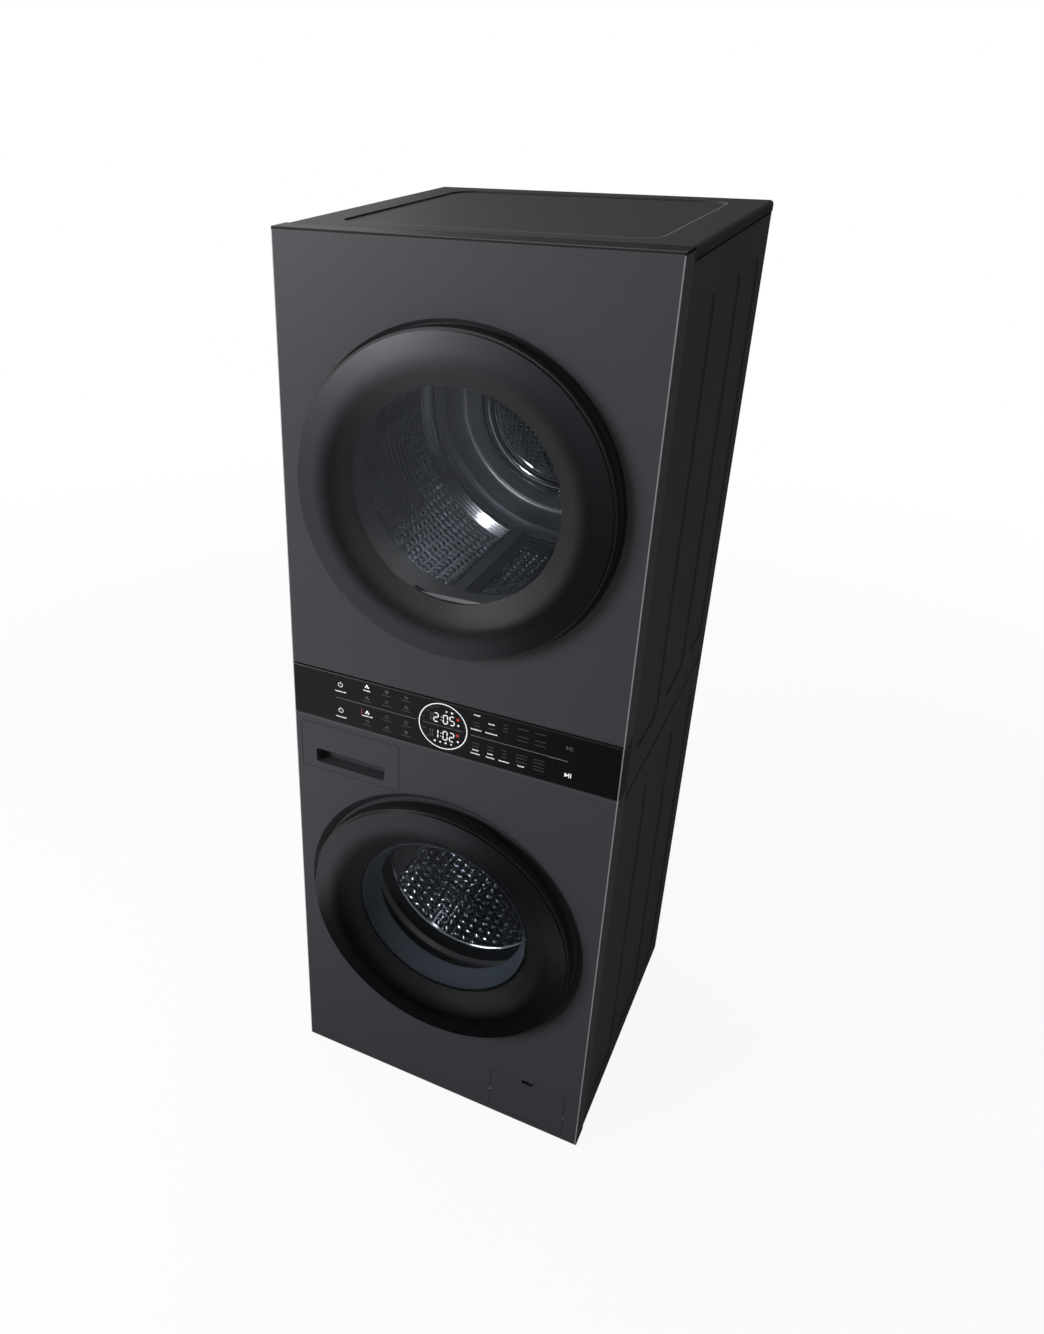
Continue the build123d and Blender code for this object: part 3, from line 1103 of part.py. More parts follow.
with BuildPart() as drain_pump:
    rod((PUMP_X, pump_front, PUMP_Z), (PUMP_X, pump_back, PUMP_Z), PUMP_R)
    rod((PUMP_X, pump_back, PUMP_Z), (PUMP_X, pump_back + PUMP_MOTOR, PUMP_Z), PUMP_MOTOR_R)
    rod((PUMP_X, outlet_y, PUMP_Z), (hose_start, outlet_y, PUMP_Z), HOSE_R - OUTLET_WALL)
    block(PUMP_X - PUMP_R, PUMP_X + PUMP_R, CABINET_Y + 2 * FLANGE, pump_back, CABINET_Z,
          PUMP_Z - PUMP_R / 2)
    rod((PUMP_X, pump_front - PAST, PUMP_Z), (PUMP_X, pump_front + FILTER_LENGTH + 2 * PAST, PUMP_Z),
        FILTER_R + RUNNING_FIT, mode=Mode.SUBTRACT)
finish(drain_pump, "drain_pump")

with BuildPart() as drain_filter:
    cap_front = pump_front - CAP_THICK - SIDE_FIT
    rod((PUMP_X, pump_front - SIDE_FIT, PUMP_Z), (PUMP_X, pump_front + FILTER_LENGTH, PUMP_Z),
        FILTER_R)
    rod((PUMP_X, cap_front, PUMP_Z), (PUMP_X, pump_front - SIDE_FIT, PUMP_Z), CAP_R)
    block(PUMP_X - CAP_GRIP_LENGTH / 2, PUMP_X + CAP_GRIP_LENGTH / 2, cap_front - CAP_GRIP,
          cap_front, PUMP_Z - CAP_GRIP_WIDTH / 2, PUMP_Z + CAP_GRIP_WIDTH / 2)
finish(drain_filter, "drain_filter")

# Drain hose: from the pump's outlet round a bend and back to a rigid spigot outside the cabinet
hose_end_y = BACK_Y - 6 * HOSE_R
spigot_start = BACK_Y - HOSE_R
with BuildPart() as drain_hose:
    with BuildLine() as route:
        FilletPolyline((hose_start, outlet_y, PUMP_Z), (HOSE_X, outlet_y, PUMP_Z),
                       (HOSE_X, outlet_y + HOSE_R * 4, PUMP_Z), (HOSE_X, hose_end_y, HOSE_Z),
                       (HOSE_X, spigot_start, HOSE_Z), radius=HOSE_BEND)
    with BuildSketch(Plane(origin=(hose_start, outlet_y, PUMP_Z), z_dir=(1, 0, 0))):
        Circle(HOSE_R)
    sweep(path=route.line)
    rod((HOSE_X, spigot_start, HOSE_Z), (HOSE_X, NECK_END, HOSE_Z), SPIGOT_NECK_R)
    rod((HOSE_X, NECK_END, HOSE_Z), (HOSE_X, REAR_Y, HOSE_Z), SPIGOT_R)
    rod((HOSE_X, spigot_start, HOSE_Z), (HOSE_X, REAR_Y + PAST, HOSE_Z), SPIGOT_BORE,
        mode=Mode.SUBTRACT)
finish(drain_hose, "drain_hose")

# ------------------------------------------------------------------ back of the tower
with BuildPart() as washer_rear_cover:
    rear_cover(WASHER_Z, WASHER_COVER, WASHER_COVER_PROUD)
finish(washer_rear_cover, "washer_rear_cover")

with BuildPart() as dryer_rear_cover:
    rear_cover(DRYER_Z, DRYER_COVER, DRYER_COVER_PROUD)
    with BuildSketch(Plane.XZ.offset(-BACK_Y - DRYER_COVER_PROUD)) as vents:
        with Locations((0, DRYER_Z)):
            with GridLocations(0, VENT_PITCH, 1, VENT_ROWS):
                SlotOverall(VENT_LENGTH, VENT_WIDTH)
    extrude(vents.sketch, amount=2 * COVER_SHEET, both=True, mode=Mode.SUBTRACT)
finish(dryer_rear_cover, "dryer_rear_cover")

with BuildPart() as power_inlet:
    rod((INLET_X, BACK_Y - INLET_PROUD, INLET_Z), (INLET_X, BACK_Y + INLET_PROUD, INLET_Z), INLET_R)
    rod((INLET_X, BACK_Y, INLET_Z), (INLET_X, BACK_Y + INLET_FLANGE, INLET_Z), INLET_FLANGE_R)
    rod((INLET_X, BACK_Y, INLET_Z), (INLET_X, BACK_Y + INLET_PROUD + PAST, INLET_Z), INLET_BORE,
        mode=Mode.SUBTRACT)
finish(power_inlet, "power_inlet")

# ------------------------------------------------------------------ dryer
# Front bulkhead: a plate, the collar that the drum runs on, and the well of the lint filter
collar_front = dryer_floor + FACE_SHEET
bulkhead_front = DRYER_DRUM_Y - BULKHEAD_GAP - BULKHEAD_THICK
bulkhead_x = CABINET_X - SIDE_SHEET - RIB_DEPTH - SIDE_FIT
lint_y = FRONT_Y + LINT_FRONT
lint_top = DRYER_Z - LINT_TOP
lint_low = lint_top - LINT_HEIGHT
well = (lint_y - LINT_SLACK, lint_y + LINT_THICK + LINT_SLACK)
well_x = LINT_WIDTH / 2 + LINT_SLACK
well_top = DRYER_Z - math.sqrt(COLLAR_R ** 2 - well_x ** 2) - SIDE_FIT
with BuildPart() as dryer_front_bulkhead:
    block(-bulkhead_x, bulkhead_x, bulkhead_front, bulkhead_front + BULKHEAD_THICK,
          DRYER_Z - BULKHEAD_LOW, DRYER_Z + BULKHEAD_HIGH)
    block(-well_x - WELL_WALL, well_x + WELL_WALL, well[0] - WELL_WALL, bulkhead_front + PAST,
          lint_low - LINT_SLACK - WELL_WALL, well_top)
    rod((0, collar_front, DRYER_Z), (0, DRYER_DRUM_Y + COLLAR_OVERLAP, DRYER_Z), COLLAR_R)
    rod((0, collar_front - PAST, DRYER_Z), (0, DRYER_DRUM_Y + COLLAR_OVERLAP + PAST, DRYER_Z),
        COLLAR_R - COLLAR_WALL, mode=Mode.SUBTRACT)
    block(-well_x, well_x, *well, lint_low - LINT_SLACK, DRYER_Z - COLLAR_R / 2,
          mode=Mode.SUBTRACT)
finish(dryer_front_bulkhead, "dryer_front_bulkhead")

with BuildPart() as lint_filter:
    block(-LINT_WIDTH / 2, LINT_WIDTH / 2, lint_y, lint_y + LINT_THICK, lint_low, lint_top)
    for share in (-0.25, 0.25):
        x = share * LINT_WIDTH
        half = LINT_WIDTH / 4 - LINT_FRAME
        block(x - half, x + half, lint_y - PAST, lint_y + LINT_THICK / 2, lint_low + LINT_FRAME,
              lint_top - 3 * LINT_FRAME, mode=Mode.SUBTRACT)
    block(-LINT_FRAME * 3, LINT_FRAME * 3, lint_y - PAST, lint_y + LINT_THICK / 2,
          lint_top - 2 * LINT_FRAME, lint_top - LINT_FRAME, mode=Mode.SUBTRACT)
finish(lint_filter, "lint_filter")

# Dryer drum: open at the back, with a mouth that runs on the front collar
dryer_mid_r = DRYER_DRUM_R - DRUM_WALL / 2
mouth_r = COLLAR_R + DRUM_RUN_GAP + DRUM_WALL / 2
with BuildPart() as dryer_drum:
    turn(DRYER_Z, sheet_outline([(mouth_r, DRYER_DRUM_Y + COLLAR_OVERLAP),
                                 (mouth_r, DRYER_DRUM_Y + DRUM_WALL / 2),
                                 (dryer_mid_r - DRUM_CORNER, DRYER_DRUM_Y + DRUM_WALL / 2),
                                 (dryer_mid_r, DRYER_DRUM_Y + DRUM_CORNER),
                                 (dryer_mid_r, DRYER_DRUM_BACK)], DRUM_WALL))
finish(dryer_drum, "dryer_drum")

bulkhead_back = DRYER_DRUM_BACK + REAR_GAP
rear_collar_r = DRYER_DRUM_R - DRUM_WALL - DRUM_RUN_GAP
roller_distance = DRYER_DRUM_R + ROLLER_R + RUN_GAP
roller_x = roller_distance * math.sin(math.radians(ROLLER_ANGLE))
roller_z = DRYER_Z - roller_distance * math.cos(math.radians(ROLLER_ANGLE))
roller_y = bulkhead_back - ROLLER_BACK - ROLLER_LENGTH
with BuildPart() as dryer_drum_lifters:
    drum_lifters(DRYER_Z, DRYER_DRUM_R - DRUM_WALL - RUNNING_FIT, DRYER_DRUM_Y + LIFTER_MARGIN,
                 DRYER_DRUM_BACK - LIFTER_MARGIN, DRYER_LIFTER_TURN)
finish(dryer_drum_lifters, "dryer_drum_lifters")

# Rear bulkhead: a plate with the warm-air vents, the rear seal's collar and the roller pins
with BuildPart() as dryer_rear_bulkhead:
    block(-bulkhead_x, bulkhead_x, bulkhead_back, bulkhead_back + BULKHEAD_THICK,
          DRYER_Z - BULKHEAD_LOW, DRYER_Z + BULKHEAD_HIGH)
    turn(DRYER_Z, [(rear_collar_r - BULKHEAD_THICK, bulkhead_back - REAR_COLLAR),
                   (rear_collar_r, bulkhead_back - REAR_COLLAR), (rear_collar_r, bulkhead_back + PAST),
                   (rear_collar_r - BULKHEAD_THICK, bulkhead_back + PAST)])
    for side in (-1, 1):
        rod((side * roller_x, roller_y - ROLLER_PIN_PROUD, roller_z),
            (side * roller_x, bulkhead_back + PAST, roller_z), ROLLER_PIN_R)
    for ring in range(1, VENT_RINGS + 1):
        with BuildSketch(Plane.XZ.offset(-bulkhead_back - BULKHEAD_THICK)) as holes:
            with Locations((0, DRYER_Z)):
                with PolarLocations(ring * VENT_RING, 6 * ring):
                    Circle(VENT_HOLE_R)
        extrude(holes.sketch, amount=2 * BULKHEAD_THICK, both=True, mode=Mode.SUBTRACT)
finish(dryer_rear_bulkhead, "dryer_rear_bulkhead")

for side, name in ((-1, "roller_left"), (1, "roller_right")):
    with BuildPart() as roller:
        start = (side * roller_x, roller_y, roller_z)
        end = (side * roller_x, roller_y + ROLLER_LENGTH, roller_z)
        rod(start, end, ROLLER_R)
        rod(start, end, ROLLER_PIN_R + RUNNING_FIT, mode=Mode.SUBTRACT)
    finish(roller, name)

# Belt: round the drum and the motor pulley, with the idler just outside its right-hand run
belt_y = (BELT_CENTRE - BELT_WIDTH / 2, BELT_CENTRE + BELT_WIDTH / 2)
with BuildPart() as drum_belt:
    for grow, mode in ((RUN_GAP + BELT_THICK, Mode.ADD), (RUN_GAP, Mode.SUBTRACT)):
        with BuildSketch(Plane.XZ.offset(-belt_y[1])) as loop:
            with Locations((0, DRYER_Z)):
                Circle(DRYER_DRUM_R + grow)
            with Locations((MOTOR_X, MOTOR_Z)):
                Circle(PULLEY_R + grow)
            make_hull()
        extrude(loop.sketch, amount=BELT_WIDTH, mode=mode)
finish(drum_belt, "drum_belt")

belt_inner = DRYER_DRUM_R + RUN_GAP + BELT_THICK
pulley_outer = PULLEY_R + RUN_GAP + BELT_THICK
centre_line = Vector(-MOTOR_X, DRYER_Z - MOTOR_Z)
distance = centre_line.length
along = centre_line.normalized()
lean = (belt_inner - pulley_outer) / distance
outward = along * -lean + Vector(along.Y, -along.X) * math.sqrt(1 - lean ** 2)
strand = (Vector(0, DRYER_Z) + outward * belt_inner
          + Vector(MOTOR_X, MOTOR_Z) + outward * pulley_outer) * 0.5
idler = strand + outward * (IDLER_R + RUN_GAP)
idler_y = BELT_CENTRE - IDLER_LENGTH / 2
post_y = idler_y + IDLER_LENGTH + IDLER_GAP
with BuildPart() as idler_pulley:
    rod((idler.X, idler_y, idler.Y), (idler.X, idler_y + IDLER_LENGTH, idler.Y), IDLER_R)
    rod((idler.X, idler_y, idler.Y), (idler.X, idler_y + IDLER_LENGTH, idler.Y),
        ROLLER_PIN_R + RUNNING_FIT, mode=Mode.SUBTRACT)
finish(idler_pulley, "idler_pulley")

# Motor, its shaft with the belt pulley, and the blower on the shaft's other end
motor_back = MOTOR_Y + MOTOR_LENGTH
wheel_y = BLOWER_Y + BLOWER_WALL * 3
shaft_front = BELT_CENTRE - PULLEY_LENGTH / 2
shaft_back = wheel_y + WHEEL_LENGTH + SHAFT_PROUD
with BuildPart() as dryer_motor:
    rod((MOTOR_X, MOTOR_Y, MOTOR_Z), (MOTOR_X, motor_back, MOTOR_Z), MOTOR_R)
    block(MOTOR_X - MOTOR_CRADLE / 2, MOTOR_X + MOTOR_CRADLE / 2, MOTOR_Y + MOTOR_CRADLE_INSET,
          motor_back - MOTOR_CRADLE_INSET, DRYER_FLOOR, MOTOR_Z)
    rod((MOTOR_X, MOTOR_Y, MOTOR_Z), (MOTOR_X, motor_back, MOTOR_Z),
        MOTOR_SHAFT_R + RUNNING_FIT, mode=Mode.SUBTRACT)
finish(dryer_motor, "dryer_motor")

with BuildPart() as motor_pulley:
    rod((MOTOR_X, shaft_front, MOTOR_Z), (MOTOR_X, shaft_back, MOTOR_Z), MOTOR_SHAFT_R)
    rod((MOTOR_X, shaft_front, MOTOR_Z), (MOTOR_X, shaft_front + PULLEY_LENGTH, MOTOR_Z), PULLEY_R)
finish(motor_pulley, "motor_pulley")

with BuildPart() as blower_wheel:
    rod((MOTOR_X, wheel_y, MOTOR_Z), (MOTOR_X, wheel_y + BLOWER_WALL, MOTOR_Z), WHEEL_R)
    rod((MOTOR_X, wheel_y, MOTOR_Z), (MOTOR_X, wheel_y + WHEEL_LENGTH / 2, MOTOR_Z), PULLEY_R)
    with BuildSketch(Plane.XZ.offset(-wheel_y)) as blades:
        with Locations((MOTOR_X, MOTOR_Z)):
            with PolarLocations(WHEEL_R - BLADE_INSET, BLADE_COUNT):
                Rectangle(BLADE_LENGTH, BLADE_THICK, rotation=BLADE_ANGLE)
    extrude(blades.sketch, amount=-WHEEL_LENGTH)
    rod((MOTOR_X, wheel_y - PAST, MOTOR_Z), (MOTOR_X, wheel_y + WHEEL_LENGTH, MOTOR_Z),
        MOTOR_SHAFT_R + RUNNING_FIT, mode=Mode.SUBTRACT)
finish(blower_wheel, "blower_wheel")

with BuildPart() as blower_housing:
    blower_back = BLOWER_Y + BLOWER_LENGTH
    rod((MOTOR_X, BLOWER_Y, MOTOR_Z), (MOTOR_X, blower_back, MOTOR_Z), BLOWER_R)
    block(MOTOR_X - BLOWER_R / 2, MOTOR_X + BLOWER_R / 2, BLOWER_Y, blower_back, DRYER_FLOOR,
          MOTOR_Z)
    rod((MOTOR_X, BLOWER_Y + BLOWER_WALL, MOTOR_Z), (MOTOR_X, blower_back - BLOWER_WALL, MOTOR_Z),
        BLOWER_R - BLOWER_WALL, mode=Mode.SUBTRACT)
    rod((MOTOR_X, BLOWER_Y - PAST, MOTOR_Z), (MOTOR_X, BLOWER_Y + BLOWER_WALL + PAST, MOTOR_Z),
        MOTOR_SHAFT_R + BLOWER_WALL, mode=Mode.SUBTRACT)
finish(blower_housing, "blower_housing")

# Heat pump: base moulding with the idler's post, compressor, and two finned exchangers
base_x = CABINET_X - PUMP_BASE_MARGIN
with BuildPart() as heat_pump_base:
    block(-base_x, base_x, CABINET_Y + PUMP_BASE_MARGIN, BACK_Y - PUMP_BASE_MARGIN,
          SEAM_Z + SIDE_SHEET, SEAM_Z + SIDE_SHEET + PUMP_BASE_HEIGHT)
    offset(amount=-PUMP_BASE_WALL, openings=faces().sort_by(Axis.Z)[-1])
    block(idler.X - IDLER_LENGTH, idler.X + IDLER_LENGTH, post_y, post_y + IDLER_LENGTH / 2,
          SEAM_Z + SIDE_SHEET, idler.Y + IDLER_LENGTH / 2)
    rod((idler.X, idler_y, idler.Y), (idler.X, post_y + PAST, idler.Y), ROLLER_PIN_R)
finish(heat_pump_base, "heat_pump_base")

with BuildPart() as compressor:
    x = HALF_WIDTH - COMPRESSOR_INSET
    y = BACK_Y - COMPRESSOR_BACK
    rod((x, y, DRYER_FLOOR), (x, y, DRYER_FLOOR + COMPRESSOR_HEIGHT), COMPRESSOR_R)
    fillet(faces().sort_by(Axis.Z)[-1].edges(), COMPRESSOR_R / 3)
finish(compressor, "compressor")

# The evaporator and the condenser share the run between the lint well and the belt
evaporator_y = FRONT_Y + EXCHANGER_FRONT
condenser_back = BELT_CENTRE - EXCHANGER_BELT_GAP
evaporator_back = evaporator_y + EVAPORATOR_SHARE * (condenser_back - evaporator_y - EXCHANGER_GAP)
with BuildPart() as heat_exchangers:
    for near, far in ((evaporator_y, evaporator_back),
                      (evaporator_back + EXCHANGER_GAP, condenser_back)):
        block(EXCHANGER_X, EXCHANGER_X + EXCHANGER_WIDTH, near, far, DRYER_FLOOR,
              DRYER_FLOOR + EXCHANGER_HEIGHT)
finish(heat_exchangers, "heat_exchangers")
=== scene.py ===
"""Looks of the laundry tower: a washer below a dryer, with the touch panel between their doors."""
import math

import bmesh
import bpy
from mathutils import Matrix, Vector


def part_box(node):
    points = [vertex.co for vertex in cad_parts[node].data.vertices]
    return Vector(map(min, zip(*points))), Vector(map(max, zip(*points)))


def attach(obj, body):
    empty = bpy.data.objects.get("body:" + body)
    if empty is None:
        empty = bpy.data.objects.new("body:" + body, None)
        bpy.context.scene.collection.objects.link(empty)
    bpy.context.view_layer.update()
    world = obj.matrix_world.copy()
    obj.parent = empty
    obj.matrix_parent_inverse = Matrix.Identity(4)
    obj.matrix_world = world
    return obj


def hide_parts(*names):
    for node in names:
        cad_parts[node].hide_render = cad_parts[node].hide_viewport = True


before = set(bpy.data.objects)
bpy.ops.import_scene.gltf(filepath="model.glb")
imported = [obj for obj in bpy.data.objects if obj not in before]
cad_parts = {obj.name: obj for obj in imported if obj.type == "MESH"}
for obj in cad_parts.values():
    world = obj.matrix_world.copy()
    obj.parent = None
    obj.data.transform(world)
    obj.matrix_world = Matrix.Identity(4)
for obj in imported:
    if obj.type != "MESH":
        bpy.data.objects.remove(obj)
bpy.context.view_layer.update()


# ------------------------------------------------------------------------------------------
# Bottom plate and levelling feet. The plate is zinc-plated sheet with a threaded boss at each
# corner; each foot is a black rubber pad moulded on a stem, with a lock nut under the plate.
class Socket:
    """An output of a material's node; sums, products and powers of it add Math nodes."""

    def __init__(self, tree, output):
        self.tree = tree
        self.output = output

    def node(self, kind, settings, values, result=0):
        """Add a node with its settings, then its inputs' values or links."""
        node = self.tree.nodes.new("ShaderNode" + kind)
        for name, value in settings.items():
            if name == "stops":
                ramp = node.color_ramp
                while len(ramp.elements) < len(value):
                    ramp.elements.new(1.0)
                for element, (place, shade) in zip(ramp.elements, value):
                    element.position = place
                    element.color = (*shade, 1.0)
            else:
                setattr(node, name, value)
        for name, value in values.items():
            if isinstance(value, Socket):
                self.tree.links.new(value.output, node.inputs[name])
            else:
                node.inputs[name].default_value = value
        return Socket(self.tree, node.outputs[result])

    def math(self, operation, first, second=0.0):
        return self.node("Math", {"operation": operation}, {0: first, 1: second})

    def __add__(self, other):
        return self.math("ADD", self, other)

    def __radd__(self, other):
        return self.math("ADD", other, self)

    def __sub__(self, other):
        return self.math("SUBTRACT", self, other)

    def __rsub__(self, other):
        return self.math("SUBTRACT", other, self)

    def __mul__(self, other):
        return self.math("MULTIPLY", self, other)

    def __rmul__(self, other):
        return self.math("MULTIPLY", other, self)

    def __truediv__(self, other):
        return self.math("DIVIDE", self, other)

    def __pow__(self, other):
        return self.math("POWER", self, other)

    def part(self, axis):
        """One component of a vector."""
        return self.node("SeparateXYZ", {}, {0: self}, axis)

    def noise(self, scale, detail=3.0, stretch=(1, 1, 1)):
        """Soft noise of this place, from 0 to 1."""
        place = self.node("VectorMath", {"operation": "MULTIPLY"}, {0: self, 1: stretch})
        return self.node("TexNoise", {}, {"Vector": place, "Scale": scale, "Detail": detail})

    def between(self, low, high, start=0.0, end=1.0):
        """This value moved from low..high onto start..end, with a soft turn at both ends."""
        settings = {"interpolation_type": "SMOOTHSTEP"}
        return self.node("MapRange", settings, {0: self, 1: low, 2: high, 3: start, 4: end})

    def blend(self, dark, light):
        """A colour between two, by this share."""
        pair = [value if isinstance(value, Socket) else (*value, 1.0) for value in (dark, light)]
        return self.node("Mix", {"data_type": "RGBA"}, {0: self, 6: pair[0], 7: pair[1]}, 2)

    def bump(self, strength, depth):
        """A surface normal pushed in and out by this height."""
        return self.node("Bump", {}, {"Height": self, "Strength": strength, "Distance": depth})


def new_finish(name):
    """A material with an empty tree, and the place of each point on the object."""
    material = bpy.data.materials.new(name)
    material.use_nodes = True
    tree = material.node_tree
    tree.nodes.clear()
    return material, Socket(tree, tree.nodes.new("ShaderNodeTexCoord").outputs["Object"])


def close_finish(material, values):
    """End the material's tree in a Principled surface with these sockets."""
    tree = material.node_tree
    surface = tree.nodes.new("ShaderNodeBsdfPrincipled")
    ending = tree.nodes.new("ShaderNodeOutputMaterial")
    tree.links.new(surface.outputs[0], ending.inputs[0])
    for name, value in values.items():
        if isinstance(value, Socket):
            tree.links.new(value.output, surface.inputs[name])
        elif isinstance(value, tuple):
            surface.inputs[name].default_value = (*value, 1.0)
        else:
            surface.inputs[name].default_value = value
    return material


def dress(material, *nodes):
    """Give the frame's own solids this finish."""
    for name in nodes:
        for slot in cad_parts[name].material_slots:
            slot.material = material


def name_piece(name):
    """Name the new primitive, set its place into its mesh and start to edit it."""
    piece = bpy.context.object
    piece.name = name
    bpy.ops.object.transform_apply(location=True, rotation=True, scale=True)
    bpy.ops.object.mode_set(mode="EDIT")


def pick(kind, test):
    """In the piece being edited, select the faces, edges or corners whose middle passes a test."""
    bpy.ops.mesh.select_mode(type=kind)
    bpy.ops.mesh.select_all(action="DESELECT")
    mesh = bmesh.from_edit_mesh(bpy.context.object.data)
    items = {"FACE": mesh.faces, "EDGE": mesh.edges, "VERT": mesh.verts}[kind]
    for item in items:
        corners = [item] if kind == "VERT" else item.verts
        if test(sum((corner.co for corner in corners), Vector()) / len(corners)):
            item.select_set(True)
    mesh.select_flush_mode()
    bmesh.update_edit_mesh(bpy.context.object.data)


def apply(kind, **settings):
    """Add a modifier to the active piece and apply it."""
    modifier = bpy.context.object.modifiers.new(kind.lower(), kind)
    for name, value in settings.items():
        setattr(modifier, name, value)
    bpy.ops.object.modifier_apply(modifier=modifier.name)


def settle(material, body, angle=30):
    """Finish the piece being edited: normals outward, smooth where it turns softly, on its body."""
    bpy.ops.mesh.select_all(action="SELECT")
    bpy.ops.mesh.normals_make_consistent(inside=False)
    bpy.ops.object.mode_set(mode="OBJECT")
    bpy.ops.object.shade_smooth_by_angle(angle=math.radians(angle))
    piece = bpy.context.object
    piece.data.materials.append(material)
    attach(piece, body)
    bpy.ops.object.select_all(action="DESELECT")
    return piece


def zinc_finish():
    """Zinc plating: a bright spangled metal with a faint cold tint."""
    material, place = new_finish("zinc")
    spangle = place.node("TexVoronoi", {}, {"Vector": place, "Scale": 160.0}, 1).part(0)
    return close_finish(material, {
        "Base Color": spangle.blend((0.42, 0.43, 0.45), (0.58, 0.59, 0.61)), "Metallic": 0.9,
        "Roughness": spangle * 0.14 + 0.30, "Normal": place.noise(900.0).bump(0.05, 0.0004)})


def rubber_finish():
    """Black rubber with the fine matt skin of its mould."""
    material, place = new_finish("rubber")
    grain = place.noise(700.0)
    return close_finish(material, {
        "Base Color": grain.blend((0.012, 0.012, 0.013), (0.022, 0.022, 0.024)),
        "Roughness": 0.62 + grain * 0.16, "Specular IOR Level": 0.3,
        "Normal": grain.bump(0.15, 0.0003)})


bpy.ops.object.select_all(action="DESELECT")
zinc = zinc_finish()
rubber = rubber_finish()
dress(zinc, "base_plate")
for corner in ("front_left", "front_right", "rear_left", "rear_right"):
    dress(rubber, "foot_" + corner)
    low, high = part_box("foot_" + corner)
    middle = (low + high) / 2
    bpy.ops.mesh.primitive_cylinder_add(vertices=6, radius=0.0105, depth=0.003,
                                        location=(middle.x, middle.y, low.z + 0.0098))
    name_piece("lock_nut_" + corner)
    bpy.ops.mesh.select_all(action="SELECT")
    bpy.ops.mesh.bevel(offset=0.0005, segments=2)
    settle(zinc, "foot_" + corner)


# ------------------------------------------------------------------------------------------
# Cabinets. Both are folded steel sheet with pressed ribs, sprayed in a matt black enamel that
# leaves a fine orange peel. Each rear cover is screwed on, with a screw at every corner and
# halfway along its sides.
SEAM_HEIGHT = 0.811
SEAM_FADE = (0.0018, 0.0030)
TOP_JOINT = (1.6352, 1.6364)


def enamel_finish():
    """Black enamel, with painted shade: dark lines where the cabinets meet and under the top plate."""
    material, place = new_finish("cabinet_enamel")
    peel = place.noise(260.0, 2.0)
    cloud = place.noise(3.0)
    height = place.part(2)
    # Painted shade: near-black lines at the seam between the cabinets and along their tops under the top
    # plate.
    joint_shade = place.math("ABSOLUTE", height - SEAM_HEIGHT, 0.0).between(*SEAM_FADE, 1.0, 0.0)
    joint_shade = joint_shade + height.between(*TOP_JOINT)
    coat = cloud.blend((0.045, 0.047, 0.051), (0.054, 0.056, 0.061))
    return close_finish(material, {
        "Base Color": joint_shade.blend(coat, (0.001, 0.001, 0.001)),
        "Roughness": 0.50 + peel * 0.10, "Specular IOR Level": 0.06,
        "Normal": peel.bump(0.12, 0.0003)})


enamel = enamel_finish()
dress(enamel, "washer_cabinet", "dryer_cabinet", "washer_rear_cover", "dryer_rear_cover")

bpy.ops.mesh.primitive_cylinder_add(vertices=20, radius=0.0042, depth=0.0024,
                                    rotation=(math.pi / 2, 0, 0))
name_piece("cover_screw")
pick("FACE", lambda middle: middle.y > 0.001)
bpy.ops.mesh.bevel(offset=0.0008, segments=3)
settle(zinc, "cabinet")
screw = bpy.context.object
for half_length in ((0.0026, 0.0006), (0.0006, 0.0026)):
    bpy.ops.mesh.primitive_cube_add(size=2.0, location=(0, 0.0012, 0),
                                    scale=(half_length[0], 0.0009, half_length[1]))
    slot_cutter = bpy.context.object
    bpy.ops.object.select_all(action="DESELECT")
    bpy.context.view_layer.objects.active = screw
    apply("BOOLEAN", object=slot_cutter, operation="DIFFERENCE")
    bpy.data.objects.remove(slot_cutter)

COVER_RIM = 0.0012
for cover in ("washer_rear_cover", "dryer_rear_cover"):
    low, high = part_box(cover)
    middle = (low + high) / 2
    for x_share in (-1, 0, 1):
        for z_share in (-1, 0, 1):
            if x_share == z_share == 0:
                continue
            copy = screw.copy()
            copy.data = screw.data.copy()
            bpy.context.scene.collection.objects.link(copy)
            copy.name = "{}_screw_{}_{}".format(cover, x_share + 2, z_share + 2)
            reach_x = (high.x - low.x) / 2 - 0.010
            reach_z = (high.z - low.z) / 2 - 0.010
            inward = 0.006 if x_share and z_share else 0.0
            place = Vector((middle.x + x_share * (reach_x - inward), low.y + COVER_RIM + 0.0012,
                            middle.z + z_share * (reach_z - inward)))
            copy.data.transform(Matrix.Translation(place))
            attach(copy, "cabinet")
bpy.data.objects.remove(screw)


# ------------------------------------------------------------------------------------------
# Washing unit: two halves of a grey glass-filled plastic tub on springs and dampers, concrete
# weights, the rubber gasket of the door and the flat motor behind. The drum is thin stainless
# steel, spun with a rolled mouth, dimpled and pierced all round, with a star pressed in its back.
def plastic_finish(name, dark, light, rough):
    """Moulded plastic with a fine even grain."""
    material, place = new_finish(name)
    grain = place.noise(400.0)
    return close_finish(material, {
        "Base Color": grain.blend(dark, light), "Roughness": rough + grain * 0.1,
        "Normal": grain.bump(0.1, 0.0003)})


def steel_finish():
    """Stainless steel, brushed round the drum."""
    material, place = new_finish("drum_steel")
    line = place.noise(40.0, 3.0, (0.4, 12.0, 0.4))
    return close_finish(material, {
        "Base Color": line.blend((0.19, 0.205, 0.23), (0.25, 0.27, 0.30)), "Metallic": 1.0,
        "Roughness": 0.10 + line * 0.06})


def concrete_finish():
    """Rough cast concrete with a light grit."""
    material, place = new_finish("concrete")
    grit = place.node("TexVoronoi", {}, {"Vector": place, "Scale": 180.0})
    return close_finish(material, {
        "Base Color": grit.blend((0.30, 0.30, 0.29), (0.42, 0.41, 0.39)), "Roughness": 0.85,
        "Normal": grit.bump(0.4, 0.001)})


